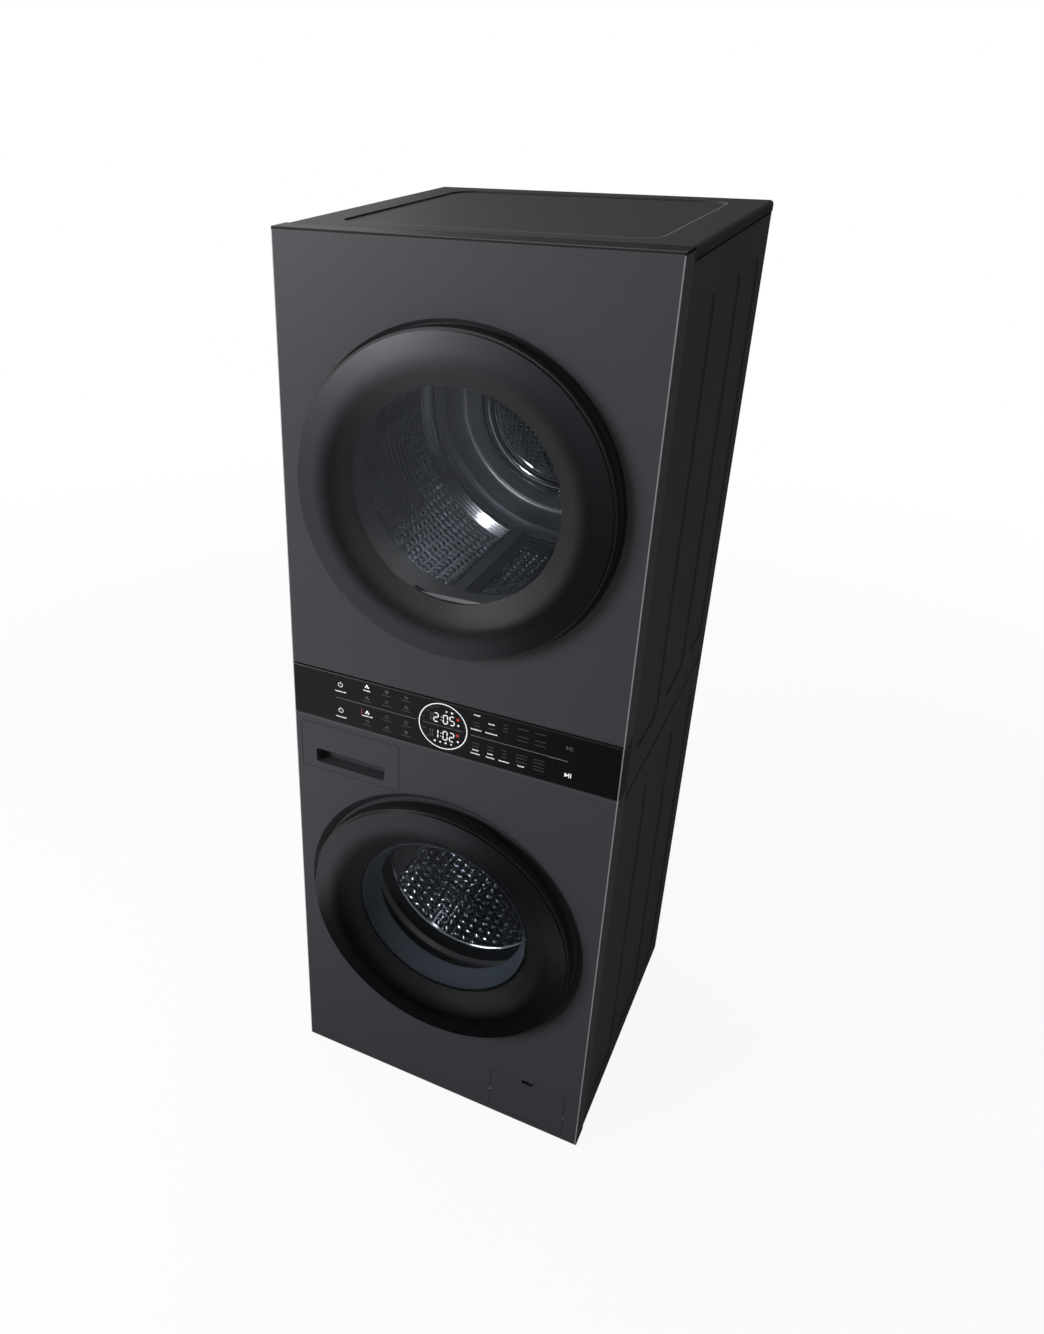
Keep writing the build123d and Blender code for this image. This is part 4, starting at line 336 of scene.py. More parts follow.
def turned(name, height, profile, steps):
    """Draw a line of (radius, y) points corner by corner and spin it round the drum's axis."""
    first = Vector((profile[0][0], profile[0][1], height))
    bpy.ops.mesh.primitive_plane_add(size=0.001, location=first)
    name_piece(name)
    bpy.ops.mesh.select_mode(type="VERT")
    bpy.ops.mesh.select_all(action="SELECT")
    bpy.ops.mesh.merge(type="CENTER")
    for (near_r, near_y), (far_r, far_y) in zip(profile, profile[1:]):
        bpy.ops.mesh.extrude_region_move(
            TRANSFORM_OT_translate={"value": (far_r - near_r, far_y - near_y, 0)})
    bpy.ops.mesh.select_all(action="SELECT")
    bpy.ops.mesh.spin(steps=steps, angle=math.tau, center=(0, 0, height), axis=(0, 1, 0))
    bpy.ops.mesh.select_all(action="SELECT")
    bpy.ops.mesh.remove_doubles(threshold=0.00001)
    bpy.ops.mesh.normals_make_consistent(inside=False)


def thicken(wall, rounds=0):
    """Turn the open sheet being edited into a wall, rounded first if asked."""
    bpy.ops.object.mode_set(mode="OBJECT")
    if rounds:
        apply("SUBSURF", levels=rounds, render_levels=rounds)
    apply("SOLIDIFY", thickness=wall, offset=-1)
    bpy.ops.object.mode_set(mode="EDIT")


def press_dimples(steps):
    """Press each chosen face inward by pairs of an inset and a depth."""
    for inset, depth in steps:
        bpy.ops.mesh.inset(thickness=inset, depth=depth, use_individual=True)


def rows(start, end, count):
    """Points that share the way from start to end evenly, without start itself."""
    return [tuple(Vector(start).lerp(Vector(end), step / count)) for step in range(1, count + 1)]


def polar(middle, height):
    """Radius and turn of a place round the drum's axis, the turn in degrees from the right."""
    return (math.hypot(middle.x, middle.z - height),
            math.degrees(math.atan2(middle.z - height, middle.x)) % 360)


dark_plastic = plastic_finish("dark_plastic", (0.022, 0.023, 0.025), (0.032, 0.033, 0.036), 0.40)
tub_plastic = plastic_finish("tub_plastic", (0.045, 0.047, 0.050), (0.060, 0.062, 0.066), 0.45)
drum_steel = steel_finish()
dress(tub_plastic, "washer_tub_front", "washer_tub_rear")
dress(concrete_finish(), "counterweights")
dress(rubber, "door_gasket")
dress(zinc, "suspension_springs", "motor_stator", "motor_rotor", "drum_spider")
dress(dark_plastic, "suspension_dampers", "washer_drum_lifters", "washer_door_lock")

drum_low, drum_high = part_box("washer_drum")
washer_z = (drum_low.z + drum_high.z) / 2
drum_r = (drum_high.x - drum_low.x) / 2
front = drum_low.y
back = drum_high.y
MOUTH_R = 0.1605
DRUM_SHEET = 0.0008
HUB_SHEET = 0.0015
turned("washer_drum_shell", washer_z,
       [(MOUTH_R, front + 0.006), (MOUTH_R - 0.0005, front + 0.002), (MOUTH_R + 0.002, front),
        (MOUTH_R + 0.006, front + 0.002), (MOUTH_R + 0.012, front + 0.004)]
       + rows((MOUTH_R + 0.012, front + 0.004), (drum_r - 0.012, front + 0.005), 3)
       + [(drum_r - 0.003, front + 0.009), (drum_r, front + 0.018), (drum_r, front + 0.024),
          (drum_r - 0.003, front + 0.028), (drum_r, front + 0.032)]
       + rows((drum_r, front + 0.032), (drum_r, back - 0.032), 14)
       + [(drum_r - 0.003, back - 0.028), (drum_r, back - 0.024), (drum_r, back - 0.018),
          (drum_r - 0.003, back - 0.006), (drum_r - 0.012, back - 0.001)]
       + rows((drum_r - 0.012, back - 0.001), (0.024, back - 0.001), 8), 72)


def on_wall(middle):
    """Whether a face belongs to the dimpled wall of the washer's drum."""
    return (polar(middle, washer_z)[0] > drum_r - 0.002
            and front + 0.034 < middle.y < back - 0.034)


def on_star(middle):
    """Whether a face belongs to the star pressed in the washer drum's back."""
    radius, angle = polar(middle, washer_z)
    return middle.y > back - 0.003 and 0.07 < radius < 0.20 and (angle + 30) % 60 < 26


pick("FACE", on_wall)
press_dimples(((0.0030, 0), (0.0034, 0.0030), (0.0022, 0.0006)))
bpy.ops.mesh.delete(type="FACE")
pick("FACE", on_star)
bpy.ops.mesh.inset(thickness=0.003, depth=0)
bpy.ops.transform.translate(value=(0, -0.006, 0))
thicken(DRUM_SHEET)
drum_shell = settle(drum_steel, "washer_drum", 50)
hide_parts("washer_drum")

# The hub: a domed cap on the drum's back, over the nut of the shaft
turned("hub_cap", washer_z,
       [(0.046, back - 0.002), (0.045, back - 0.005), (0.036, back - 0.009),
        (0.020, back - 0.011), (0.004, back - 0.012), (0, back - 0.012)], 48)
thicken(HUB_SHEET)
settle(drum_steel, "washer_drum", 40)


# ------------------------------------------------------------------------------------------
# Detergent drawer, its housing and the two inlet valves. The drawer's face is painted plastic,
# and the tray and the housing are plain light grey mouldings.
light_plastic = plastic_finish("light_plastic", (0.34, 0.35, 0.36), (0.42, 0.43, 0.44), 0.42)
dress(light_plastic, "drawer_tray", "dispenser_housing", "inlet_valves")


# ------------------------------------------------------------------------------------------
# Drain: a pump with a filter behind the flap, a ribbed grey hose, and its spigot at the back.
dress(dark_plastic, "drain_pump", "drain_hose")
dress(light_plastic, "drain_filter")


# ------------------------------------------------------------------------------------------
# Front panels, drawer front and filter flap. The pans are pressed steel with a satin metallic
# paint of a slightly purple grey, and the two plastic pieces are moulded in the same tone.
FOLD_NEAR = (0.2946, 0.2956)
FOLD_FAR = (0.2964, 0.2972)
RETURN_START = (0.2972, 0.2979)
FOLD_TOP = (1.6490, 1.6502)
TOP_FOLD = (1.6506, 1.6520)
TOP_FACE = (1.6538, 1.6549)
TOP_FACE_BACK = (-0.2535, -0.2515)


def front_finish():
    """Charcoal metal paint, with painted light: highlights on the upright folds, a lighter side return,
    and shade on the folded top edge and the top face.
    """
    material, place = new_finish("front_paint")
    streak = place.noise(60.0, 4.0, (0.35, 1.0, 9.0))
    flake = place.noise(1500.0, 1.0)
    tone = streak * 0.5 + flake * 0.5
    across = place.math("ABSOLUTE", place.part(0), 0.0)
    height = place.part(2)
    # Painted highlight: a bright line along both upright folds, below the folded top edge.
    fold_highlight = across.between(*FOLD_NEAR) * across.between(*FOLD_FAR, 1.0, 0.0)
    fold_highlight = fold_highlight * height.between(*FOLD_TOP, 1.0, 0.0)
    # Painted light: the side return is painted lighter than the front.
    painted_return_light = across.between(*RETURN_START)
    # Painted shade: near black on the folded top edge and at the back of the top face, and a darker top
    # face.
    top_fold_shade = height.between(*TOP_FOLD) * height.between(*TOP_FACE, 1.0, 0.0)
    top_face_shade = height.between(*TOP_FACE)
    top_end_shade = top_face_shade * place.part(1).between(*TOP_FACE_BACK)
    paint = tone.blend((0.034, 0.033, 0.038), (0.046, 0.044, 0.051))
    paint = painted_return_light.blend(paint, (0.070, 0.067, 0.076))
    paint = top_face_shade.blend(paint, (0.0085, 0.0080, 0.0110))
    paint = (top_fold_shade + top_end_shade).blend(paint, (0.003, 0.003, 0.003))
    return close_finish(material, {
        "Base Color": fold_highlight.blend(paint, (0.34, 0.34, 0.35)),
        "Roughness": 0.42 + streak * 0.08, "Specular IOR Level": 0.15,
        "Normal": streak.bump(0.03, 0.0002)})


front_paint = front_finish()
dress(front_paint, "washer_front_panel", "dryer_front_panel", "drawer_front", "filter_flap")


# ------------------------------------------------------------------------------------------
# Touch panel: a flat front of black glass-like plastic that wraps round both sides, with its
# signs printed on it in white, grey, red and magenta. Every sign is a thin raised print.
def fascia_finish():
    """Black gloss, with a painted highlight on the upright folds and a lighter grey side return."""
    material, place = new_finish("fascia_black")
    wave = place.noise(8.0)
    across = place.math("ABSOLUTE", place.part(0), 0.0)
    # Painted highlight: a bright line along both upright folds.
    fold_highlight = across.between(*FOLD_NEAR) * across.between(*FOLD_FAR, 1.0, 0.0)
    gloss = wave.blend((0.003, 0.0032, 0.0036), (0.0045, 0.0047, 0.0052))
    gloss = across.between(*RETURN_START).blend(gloss, (0.045, 0.047, 0.051))
    return close_finish(material, {
        "Base Color": fold_highlight.blend(gloss, (0.30, 0.30, 0.31)),
        "Roughness": 0.28 + wave * 0.05, "Specular IOR Level": 0.13,
        "Normal": place.noise(30.0).bump(0.02, 0.0005)})


def print_finish(name, colour, glow):
    """Printing ink, or a lit sign where it glows."""
    material, place = new_finish(name)
    speck = place.noise(900.0)
    dimmed = tuple(part * 0.85 for part in colour)
    tone = speck.blend(dimmed, colour)
    return close_finish(material, {
        "Base Color": tone, "Emission Color": tone, "Emission Strength": glow,
        "Roughness": 0.5 + speck * 0.1})


def start_print(name):
    """Start a group of signs with an empty mesh on the band."""
    bpy.ops.mesh.primitive_plane_add(size=0.001)
    name_piece(name)
    bpy.ops.mesh.select_all(action="SELECT")
    bpy.ops.mesh.delete(type="VERT")


def on_band(x, z):
    """A place on the band's face, in millimetres from its left and lower edges."""
    return (band_low.x + x / 1000, band_low.y, band_low.z + z / 1000)


def bar(x, z, width, height, turn=0.0):
    """A flat bar of ink about a place."""
    bpy.ops.mesh.primitive_cube_add(
        size=2.0, location=on_band(x, z), rotation=(0, turn, 0),
        scale=(width / 2000, INK / 1000, height / 2000))


def polygon(x, z, radius, corners, turn=0.0, stretch=1.0):
    """A flat dot, triangle or diamond of ink."""
    bpy.ops.mesh.primitive_cylinder_add(
        vertices=corners, radius=radius / 1000, depth=2 * INK / 1000, location=on_band(x, z),
        rotation=(math.pi / 2, turn, 0), scale=(stretch, 1, 1))


def ring(x, z, radius, line, steps=24):
    """A round line of ink, flattened onto the band."""
    place = on_band(x, z)
    bpy.ops.mesh.primitive_torus_add(
        location=place, rotation=(math.pi / 2, 0, 0), major_segments=steps, minor_segments=8,
        major_radius=radius / 1000, minor_radius=line / 2000)
    bpy.ops.transform.resize(value=(1, 2 * INK / line, 1), center_override=place)


def caption(x, z, width, height=2.2):
    """An unreadable caption: a row of short bars of uneven height."""
    reach = -width / 2
    step = 0
    while reach < width / 2 - 0.5:
        length = (1.5, 1.1, 1.8, 1.3)[step % 4]
        tall = height * (1.0, 0.72, 0.84, 0.70, 0.92)[step % 5]
        bar(x + reach + length / 2, z - (height - tall) / 2, length, tall)
        reach += length + 0.45
        step += 1


def power_sign(x, z):
    """A broken ring with a bar in its gap."""
    ring(x, z, 4.2, 1.1)
    middle = Vector(on_band(x, z))

    def at_gap(place):
        away = place - middle
        return away.length < 0.0055 and away.z > 0.0026 and abs(away.x) < 0.0024

    pick("FACE", at_gap)
    bpy.ops.mesh.delete(type="FACE")
    bpy.ops.mesh.select_mode(type="EDGE")
    bpy.ops.mesh.select_all(action="DESELECT")
    bpy.ops.mesh.select_non_manifold()
    bpy.ops.mesh.fill_holes(sides=16)
    bar(x, z + 3.6, 1.1, 4.4)


def programme_sign(x, z, kind):
    """One of eight small signs for the programmes."""
    if kind == 0:
        polygon(x, z + 1.6, 2.6, 4, math.pi / 4)
        polygon(x + 2.6, z - 1.4, 1.8, 10)
        polygon(x - 2.4, z - 1.6, 1.5, 10)
    elif kind == 1:
        ring(x, z, 3.2, 0.9)
        bar(x, z, 3.6, 0.8, math.pi / 4)
    elif kind == 2:
        bar(x, z - 0.8, 4.2, 4.6)
        bar(x, z + 2.2, 7.2, 1.6)
    elif kind == 3:
        for level in (-2.4, 0, 2.4):
            bar(x + level * 0.3, z + level, 5.6, 0.9, 0.2)
    elif kind == 4:
        ring(x, z, 3.4, 0.8)
        polygon(x, z, 1.5, 3)
    elif kind == 5:
        for place, tall in ((-2.4, 2.6), (0, 4.4), (2.4, 6.2)):
            bar(x + place, z - 3.1 + tall / 2, 1.5, tall)
    elif kind == 6:
        bar(x - 1.6, z, 2.2, 5.6)
        bar(x + 1.8, z - 1.0, 2.6, 3.6)
    else:
        polygon(x, z, 3.0, 6)


def segment_digit(x, z, height, shown):
    """A seven-segment digit: the long hexagons of the named strokes."""
    wide = height * 0.46
    half = height / 4
    strokes = {"top": (0, height / 2, 0), "middle": (0, 0, 0), "foot": (0, -height / 2, 0),
               "left_high": (-wide / 2, half, 1), "right_high": (wide / 2, half, 1),
               "left_low": (-wide / 2, -half, 1), "right_low": (wide / 2, -half, 1)}
    for stroke in shown.split():
        across, up, upright = strokes[stroke]
        length = half * 2 if upright else wide
        bpy.ops.mesh.primitive_cylinder_add(
            vertices=6, radius=length * 0.48 / 1000, depth=2 * INK / 1000,
            location=on_band(x + across, z + up), rotation=(math.pi / 2, 0, 0))
        place = on_band(x + across, z + up)
        thin = 1.9 / (length * 0.96 * math.sin(math.pi / 3))
        if upright:
            bpy.ops.transform.rotate(value=math.pi / 2, orient_axis="Y", center_override=place)
            bpy.ops.transform.resize(value=(thin, 1, 1), center_override=place)
        else:
            bpy.ops.transform.resize(value=(1, 1, thin), center_override=place)


INK = 0.15
DIGITS = {"0": "top foot left_high right_high left_low right_low", "1": "right_high right_low",
          "2": "top right_high middle left_low foot", "5": "top left_high middle right_low foot"}
fascia_black = fascia_finish()
dress(fascia_black, "control_fascia")
dress(plastic_finish("board_green", (0.010, 0.035, 0.020), (0.014, 0.045, 0.026), 0.35),
      "display_board")
dress(dark_plastic, "control_housing")
band_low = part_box("control_fascia")[0]
white_ink = print_finish("white_ink", (0.80, 0.81, 0.83), 0.35)
grey_ink = print_finish("grey_ink", (0.050, 0.052, 0.055), 0.0)
line_ink = print_finish("line_ink", (0.16, 0.165, 0.17), 0.05)
red_ink = print_finish("red_ink", (0.45, 0.010, 0.016), 0.4)
pink_ink = print_finish("magenta_ink", (0.22, 0.012, 0.085), 0.3)

for name, z in (("power_signs", 79), ("power_sign_washer", 27)):
    start_print(name)
    power_sign(97, z)
    settle(white_ink, "cabinet")

start_print("lit_signs")
programme_sign(149, 89, 0)
programme_sign(149, 37, 0)
for x, z, kind in ((298, 81.5, 2), (308, 81.5, 7), (320, 60.5, 7), (320, 28.5, 7),
                   (278, 19.5, 7), (288, 19.5, 2), (298, 19.5, 7), (308, 19.5, 2)):
    polygon(x, z, 1.9, 8 if kind == 7 else 4)
for x, z in ((288.6, 69), (288.6, 63), (288.6, 37), (288.6, 31)):
    polygon(x, z, 0.9, 4, math.pi / 4)
polygon(507.5, 23.5, 4.6, 3, math.pi / 2)
bar(512.6, 23.5, 1.5, 8.6)
bar(515.6, 23.5, 1.5, 8.6)
settle(white_ink, "cabinet")

start_print("lit_captions")
for x, z, width in ((97, 65.5, 20), (97, 13.5, 20), (149, 81, 13), (149, 29.5, 20),
                    (352, 90.5, 10), (352, 62.5, 19), (378, 80.5, 11), (378, 62.5, 20),
                    (352, 22.5, 11), (352, 15.5, 17), (378, 22.5, 9), (378, 15.5, 14),
                    (403, 15.5, 19), (432, 15.5, 11)):
    caption(x, z, width)
settle(white_ink, "cabinet")

start_print("lit_digits")
for x, z, number in ((279.5, 66, "2"), (296.5, 66, "0"), (308.5, 66, "5"),
                     (279.5, 34, "1"), (296.5, 34, "0"), (308.5, 34, "2")):
    segment_digit(x, z, 16.5, DIGITS[number])
settle(white_ink, "cabinet")

start_print("unlit_signs")
for z in (66, 34):
    segment_digit(266, z, 16.5, DIGITS["1"])
    segment_digit(270, z, 16.5, DIGITS["1"])
for step, (x, z) in enumerate(((149, 66.5), (149, 18.5), (187, 88.5), (187, 68.5), (187, 38.5),
                               (187, 18.5), (224, 88.5), (224, 68.5), (224, 38.5),
                               (224, 18.5))):
    programme_sign(x, z, step % 7)
    caption(x, z - 7, 16, 1.6)
for x, z in ((402, 86.5), (402, 80), (402, 74), (402, 36.5), (402, 30), (402, 24)):
    caption(x, z, 7, 1.5)
for x in (432, 462):
    for z in (86.5, 72.5, 64.5, 36.5, 30.5, 23.5, 17.5):
        caption(x, z, 18, 1.5)
for x, z in ((270, 84), (279, 87), (264, 75), (256, 62), (257, 40), (264, 26), (352, 76),
             (352, 70), (378, 72), (352, 36), (378, 36), (352, 30), (378, 30)):
    caption(x, z, 5 if x < 300 else 10, 1.7)
polygon(506.5, 74.5, 4.4, 3, math.pi / 2)
bar(511.4, 74.5, 1.4, 8.2)
bar(514.2, 74.5, 1.4, 8.2)
settle(grey_ink, "cabinet")

start_print("divider_lines")
bar(165, 51.5, 156, 0.7)
bar(292, 51, 72, 0.6)
bar(409, 49.8, 134, 0.8)
caption(493, 49.5, 34, 1.8)
settle(line_ink, "cabinet")

start_print("display_ring")
ring(292, 51, 43.5, 1.7, 96)
settle(white_ink, "cabinet")

start_print("warning_dots")
polygon(319, 71.5, 2.6, 16)
polygon(319, 40.5, 2.6, 16)
settle(red_ink, "cabinet")

start_print("choice_bracket")
bar(138, 36, 1.4, 13)
bar(139.4, 42, 3.0, 1.2)
bar(139.4, 30, 3.0, 1.2)
settle(pink_ink, "cabinet")


# ------------------------------------------------------------------------------------------
# Dryer drum and the plates at its ends. The drum is rolled from thin stainless steel, with
# dimples pressed all round and beads at both ends. Behind it stands a stepped steel back with
# a pierced plate for the warm air, and in front a dark plastic collar with the lint filter.
def shade_steel_finish():
    """Steel of the drum's back, duller than the drum and slightly blue."""
    material, place = new_finish("back_steel")
    cloud = place.noise(12.0)
    return close_finish(material, {
        "Base Color": cloud.blend((0.20, 0.215, 0.235), (0.26, 0.275, 0.30)), "Metallic": 0.9,
        "Roughness": 0.34 + cloud * 0.10, "Normal": place.noise(300.0).bump(0.05, 0.0003)})


back_steel = shade_steel_finish()
dress(back_steel, "dryer_rear_bulkhead")
dress(plastic_finish("collar_plastic", (0.012, 0.015, 0.019), (0.018, 0.022, 0.027), 0.45),
      "dryer_front_bulkhead", "dryer_drum_lifters")
dress(light_plastic, "lint_filter")

drum_low, drum_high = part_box("dryer_drum")
dryer_z = (drum_low.z + drum_high.z) / 2
wall_r = (drum_high.x - drum_low.x) / 2
front = drum_low.y
back = drum_high.y
COLLAR_R = 0.1962
profile = [(COLLAR_R, front + 0.008), (COLLAR_R, front + 0.003), (COLLAR_R + 0.004, front + 0.0005)]
profile += rows(profile[-1], (wall_r - 0.010, front + 0.0005), 3)
profile += [(wall_r - 0.002, front + 0.004), (wall_r, front + 0.012), (wall_r, front + 0.020)]
profile += rows(profile[-1], (wall_r, back - 0.070), 20)
for step in range(4):
    bead = back - 0.066 + step * 0.012
    profile += [(wall_r, bead), (wall_r - 0.0012, bead + 0.0015), (wall_r - 0.0036, bead + 0.003),
                (wall_r - 0.0042, bead + 0.0045), (wall_r - 0.0036, bead + 0.006),
                (wall_r - 0.0012, bead + 0.0075), (wall_r, bead + 0.009)]
profile += [(wall_r, back - 0.012), (wall_r, back)]
turned("dryer_drum_shell", dryer_z, profile, 96)


def on_dryer_wall(middle):
    """Whether a face belongs to the dimpled wall of the dryer's drum."""
    return (polar(middle, dryer_z)[0] > wall_r - 0.001
            and front + 0.021 < middle.y < back - 0.071)


pick("FACE", on_dryer_wall)
press_dimples(((0.0020, 0), (0.0030, 0.0030), (0.0022, 0.0006)))
thicken(DRUM_SHEET)
drum_shell = settle(drum_steel, "dryer_drum", 50)
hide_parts("dryer_drum")

# The stepped back: a flat rim, a hollow ring with a polished bead, and the vent's rolled edge
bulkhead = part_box("dryer_rear_bulkhead")[1].y - 0.0035
turned("drum_back", dryer_z,
       [(0.263, bulkhead), (0.249, bulkhead), (0.246, bulkhead - 0.003), (0.243, bulkhead - 0.009)]
       + rows((0.243, bulkhead - 0.009), (0.208, bulkhead - 0.009), 3)
       + [(0.205, bulkhead - 0.007), (0.203, bulkhead), (0.177, bulkhead), (0.175, bulkhead - 0.003)], 96)
thicken(DRUM_SHEET)
settle(back_steel, "cabinet", 50)
turned("drum_back_bead", dryer_z,
       [(0.176, bulkhead), (0.174, bulkhead - 0.005), (0.168, bulkhead - 0.010),
        (0.160, bulkhead - 0.011), (0.153, bulkhead - 0.008), (0.150, bulkhead - 0.002),
        (0.146, bulkhead), (0.142, bulkhead - 0.004), (0.140, bulkhead - 0.012),
        (0.138, bulkhead - 0.013), (0.136, bulkhead - 0.011)], 96)
thicken(DRUM_SHEET, 1)
settle(drum_steel, "cabinet", 50)

VENT_CELLS = 30
VENT_R = 0.1365
bpy.ops.mesh.primitive_grid_add(x_subdivisions=VENT_CELLS, y_subdivisions=VENT_CELLS,
                                size=2 * VENT_R, location=(0, bulkhead - 0.010, dryer_z),
                                rotation=(math.pi / 2, 0, 0))
name_piece("warm_air_vent")
pick("FACE", lambda middle: polar(middle, dryer_z)[0] > VENT_R)
bpy.ops.mesh.delete(type="FACE")
pick("FACE", lambda middle: polar(middle, dryer_z)[0] < VENT_R - 0.008)
press_dimples(((0.0018, 0.0010), (0.0010, -0.0006)))
bpy.ops.mesh.delete(type="FACE")
thicken(DRUM_SHEET, 1)
settle(drum_steel, "cabinet", 50)


# ------------------------------------------------------------------------------------------
# Doors: black plastic frames on zinc hinges, smoked domes printed black round a clear middle,
# a deep pressed bowl in the washer's door and a shallow window in the dryer's.
def frame_finish():
    """Black moulded plastic with a soft gloss."""
    material, place = new_finish("door_frame")
    wave = place.noise(20.0)
    return close_finish(material, {
        "Base Color": wave.blend((0.008, 0.008, 0.009), (0.012, 0.012, 0.013)),
        "Roughness": 0.26 + wave * 0.06, "Specular IOR Level": 0.4})


CLEAR_EDGE = (0.193, 0.228)


def dome_finish(name, height):
    """Smoked glass, with a print that closes it near the rim."""
    material, place = new_finish(name)
    x = place.part(0)
    z = place.part(2) - height
    radius = (x * x + z * z) ** 0.5
    clear = radius.between(*CLEAR_EDGE, 1.0, 0.0)
    return close_finish(material, {
        "Base Color": (0.0034, 0.0037, 0.0044), "Roughness": 0.265, "Specular IOR Level": 0.45,
        "Specular Tint": (0.87, 0.90, 1.0), "Alpha": 1 - clear * 0.86,
        "Coat Weight": clear ** 4.0 * 0.04, "Coat IOR": 2.4, "Coat Roughness": 0.265})


def glass_finish(name):
    """Clear pressed glass with a cold tint."""
    material, place = new_finish(name)
    ripple = place.noise(14.0)
    return close_finish(material, {
        "Base Color": (0.050, 0.058, 0.070), "Roughness": 0.03, "IOR": 1.45,
        "Alpha": 0.05 + ripple * 0.05,
        "Normal": ripple.bump(0.10, 0.002)})


sleeve_plastic = plastic_finish("sleeve_plastic", (0.038, 0.049, 0.066), (0.048, 0.061, 0.082), 0.40)
dress(frame_finish(), "washer_door_ring", "dryer_door_ring")
dress(zinc, "door_hinges", "washer_door_hook")
dress(dome_finish("washer_dome", washer_z), "washer_door_glass")
dress(dome_finish("dryer_dome", dryer_z), "dryer_door_glass")
bowl_glass = glass_finish("bowl_glass")
dress(bowl_glass, "washer_door_bowl", "dryer_door_window")

# A sleeve of blue-grey plastic trims the mouth of the washer's bowl on the inside
SLEEVE_WALL = 0.001
low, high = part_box("washer_door_bowl")
sleeve_r = (high.x - low.x) / 2 - 0.0057
turned("bowl_sleeve", washer_z,
       [(sleeve_r, low.y + 0.001), (sleeve_r - 0.0005, low.y + 0.005),
        (sleeve_r - 0.0078, low.y + 0.023), (sleeve_r - 0.0155, low.y + 0.041)], 96)
thicken(SLEEVE_WALL)
settle(sleeve_plastic, "washer_door", 50)


# ------------------------------------------------------------------------------------------
# Dryer drive and heat pump: belt, motor, rollers and blower, then the compressor and two
# finned exchangers in their base moulding.
def compressor_finish():
    """Black paint on the steel shell."""
    material, place = new_finish("compressor_black")
    cloud = place.noise(30.0)
    return close_finish(material, {
        "Base Color": cloud.blend((0.010, 0.010, 0.011), (0.020, 0.020, 0.021)),
        "Roughness": 0.3 + cloud * 0.15})


dress(rubber, "drum_belt")
dress(dark_plastic, "roller_left", "roller_right", "idler_pulley", "blower_housing",
      "blower_wheel", "heat_pump_base")
dress(zinc, "dryer_motor", "motor_pulley", "heat_exchangers")
dress(compressor_finish(), "compressor")


# ------------------------------------------------------------------------------------------
# Top plate: a painted steel lid with a fine texture.
RECESS_MIDDLE_Y = 0.024
RECESS_STRAIGHT = (0.205, 0.194)
RECESS_CORNER = 0.034
RIM_FADE = (0.0006, 0.0016)


def top_finish():
    """Black enamel, with a painted highlight along the near edges of the pressed recess."""
    material, place = new_finish("top_paint")
    peel = place.noise(500.0, 2.0)
    deep = place.part(1) - RECESS_MIDDLE_Y
    across = place.math("ABSOLUTE", place.part(0), 0.0)
    corner_x = place.math("MAXIMUM", across - RECESS_STRAIGHT[0], 0.0)
    corner_y = place.math("MAXIMUM", place.math("ABSOLUTE", deep, 0.0) - RECESS_STRAIGHT[1], 0.0)
    away = (corner_x * corner_x + corner_y * corner_y) ** 0.5 - RECESS_CORNER
    # Painted highlight: a light line along the recess's front and right edges.
    rim = place.math("ABSOLUTE", away - RIM_FADE[0], 0.0).between(*RIM_FADE, 1.0, 0.0)
    rim = rim * (place.part(0) - deep).between(-0.06, 0.10)
    coat = peel.blend((0.029, 0.030, 0.031), (0.039, 0.040, 0.042))
    return close_finish(material, {
        "Base Color": rim.blend(coat, (0.17, 0.175, 0.18)),
        "Roughness": 0.45 + peel * 0.12, "Specular IOR Level": 0.08,
        "Normal": peel.bump(0.2, 0.0003)})


dress(top_finish(), "top_plate")
dress(dark_plastic, "power_inlet")


# ------------------------------------------------------------------------------------------
# Studio: a white floor that keeps the tower's soft shadow, soft lights, and the camera.
def white_stage(name, plain_share):
    """White that shows evenly to the camera and in reflections, and is lit as a floor."""
    material, place = new_finish(name)
    path = [place.node("LightPath", {}, {}, result) for result in (0, 3, 6)]
    seen = place.math("MAXIMUM", place.math("MAXIMUM", path[0], path[1]), path[2])
    reach = place.node("VectorMath", {"operation": "LENGTH"}, {0: place}, 1)
    share = reach.between(1.2, 4.0, plain_share, 1.0)
    lit = place.node("BsdfDiffuse", {}, {"Color": (0.8, 0.8, 0.8, 1.0)})
    glow = place.node("Emission", {}, {"Color": (1, 1, 1, 1)})
    mixed = place.node("MixShader", {}, {0: seen * share, 1: lit, 2: glow})
    ending = material.node_tree.nodes.new("ShaderNodeOutputMaterial")
    material.node_tree.links.new(mixed.output, ending.inputs["Surface"])
    return material


bpy.ops.mesh.primitive_circle_add(vertices=64, radius=30.0, fill_type="NGON")
floor = bpy.context.object
floor.name = "floor"
floor.data.materials.append(white_stage("floor_white", 0.92))

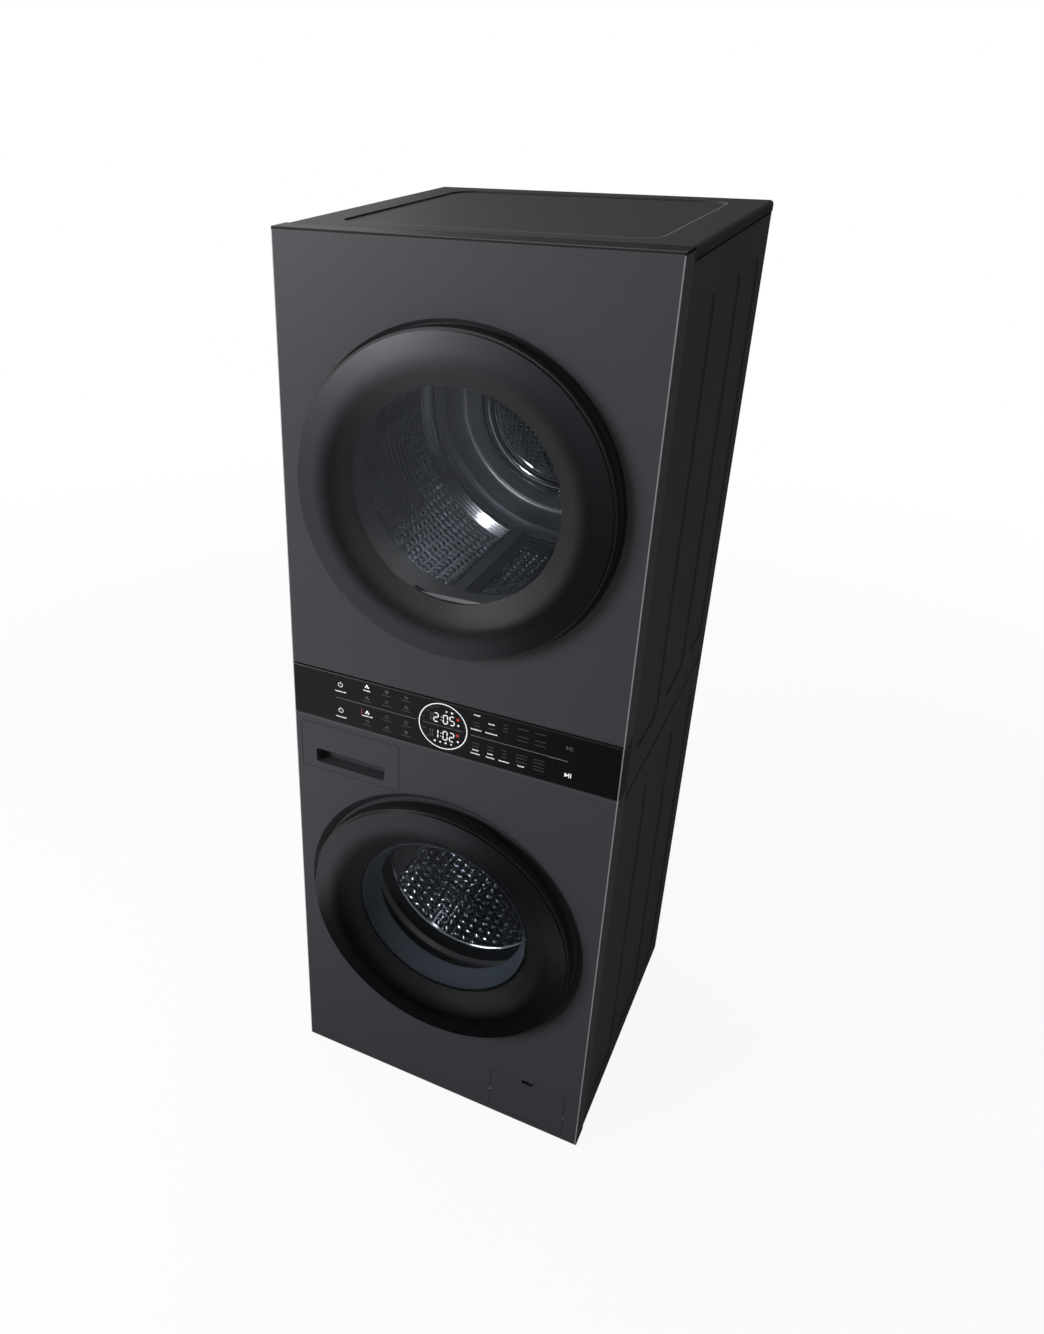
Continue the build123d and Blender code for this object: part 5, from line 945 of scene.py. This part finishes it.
# Black cards that only reflections see: two on the floor before the tower, one on the floor
# beside it and one upright behind. They make its gloss fade from left to right.
card_black, place = new_finish("card_black")
close_finish(card_black, {"Base Color": (0.002, 0.002, 0.002), "Roughness": 1.0,
                          "Specular IOR Level": 0.0})
for name, corner, turn, lift, size in (
        ("near_card", (-0.55, -0.05, 0.005), 0.0, 0.0, (1.45, -0.80)),
        ("front_card", (-0.15, -0.85, 0.004), -17.0, 0.0, (2.20, -18.0)),
        ("side_card", (0.20, -0.30, 0.006), 0.0, 0.0, (20.0, 20.0)),
        ("back_card", (-3.2, 6.0, 0.0), 0.0, 90.0, (20.0, 20.0))):
    aim = Matrix.Rotation(math.radians(turn), 4, "Z") @ Matrix.Rotation(math.radians(lift), 4, "X")
    bpy.ops.mesh.primitive_plane_add(size=1.0)
    card = bpy.context.object
    card.name = name
    card.data.transform(Matrix.Translation((0.5, 0.5, 0)))
    card.data.transform(Matrix.Translation(corner) @ aim @ Matrix.Diagonal((*size, 1.0, 1.0)))
    card.data.materials.append(card_black)
    for kind in ("camera", "diffuse", "transmission", "volume_scatter", "shadow"):
        setattr(card, "visible_" + kind, False)

world = bpy.data.worlds.new("studio")
bpy.context.scene.world = world
world.use_nodes = True
world_tree = world.node_tree
world_tree.nodes.clear()
camera_ray = Socket(world_tree, world_tree.nodes.new("ShaderNodeLightPath").outputs[0])
glossy_ray = camera_ray.node("LightPath", {}, {}, 3)
passing_ray = camera_ray.node("LightPath", {}, {}, 6)
plain = camera_ray.math("MAXIMUM", camera_ray.math("MAXIMUM", camera_ray, glossy_ray), passing_ray)
sky = plain.node("Background", {}, {"Color": (1, 1, 1, 1),
                                    "Strength": plain.between(0.0, 1.0, 0.30, 1.0)})
world_end = world_tree.nodes.new("ShaderNodeOutputWorld")
world_tree.links.new(sky.output, world_end.inputs[0])


def soft_light(name, place, target, size, power):
    """A square area light that faces its target."""
    lamp = bpy.data.lights.new(name, "AREA")
    lamp.size = size
    lamp.energy = power
    holder = bpy.data.objects.new(name, lamp)
    bpy.context.scene.collection.objects.link(holder)
    away = Vector(place) - Vector(target)
    holder.matrix_world = Matrix.Translation(place) @ away.to_track_quat("Z", "Y").to_matrix().to_4x4()


soft_light("left_softbox", (-2.1, -2.8, 1.95), (0, 0, 1.1), 1.5, 110.0)
soft_light("top_softbox", (-0.6, 0.6, 3.6), (0, 0, 1.0), 1.5, 30.0)

# A small lamp hangs in each drum, so that the dimples show through the dark glass. Neither
# lamp is part of the tower, and the dryer's makes a bright spot when its door is open.
soft_light("dryer_drum_lamp", (0.06, 0.0, dryer_z + 0.21), (-0.05, 0.05, dryer_z - 0.2), 0.03, 1.3)
soft_light("washer_drum_lamp", (0.08, 0.02, washer_z + 0.17), (0, 0.10, washer_z), 0.03, 0.6)

# The lens looks down on the tower from its right-hand front
LENS_PLACE = Vector((0.59368, -1.65897, 1.85859))
LENS_AHEAD = Vector((-0.42077, 0.77260, -0.47544))
LENS_RIGHT = Vector((0.88121, 0.47258, -0.01194))
lens_up = LENS_RIGHT.cross(LENS_AHEAD)
camera_data = bpy.data.cameras.new("camera")
camera_data.sensor_width = 36.0
camera_data.lens = 28.688
camera_data.shift_x = 0.1175
camera_data.shift_y = -0.0216
camera = bpy.data.objects.new("camera", camera_data)
turn = Matrix((LENS_RIGHT, lens_up, -LENS_AHEAD)).transposed()
camera.matrix_world = Matrix.Translation(LENS_PLACE) @ turn.to_4x4()
bpy.context.scene.collection.objects.link(camera)
bpy.context.scene.camera = camera
bpy.context.scene.view_settings.view_transform = "Standard"
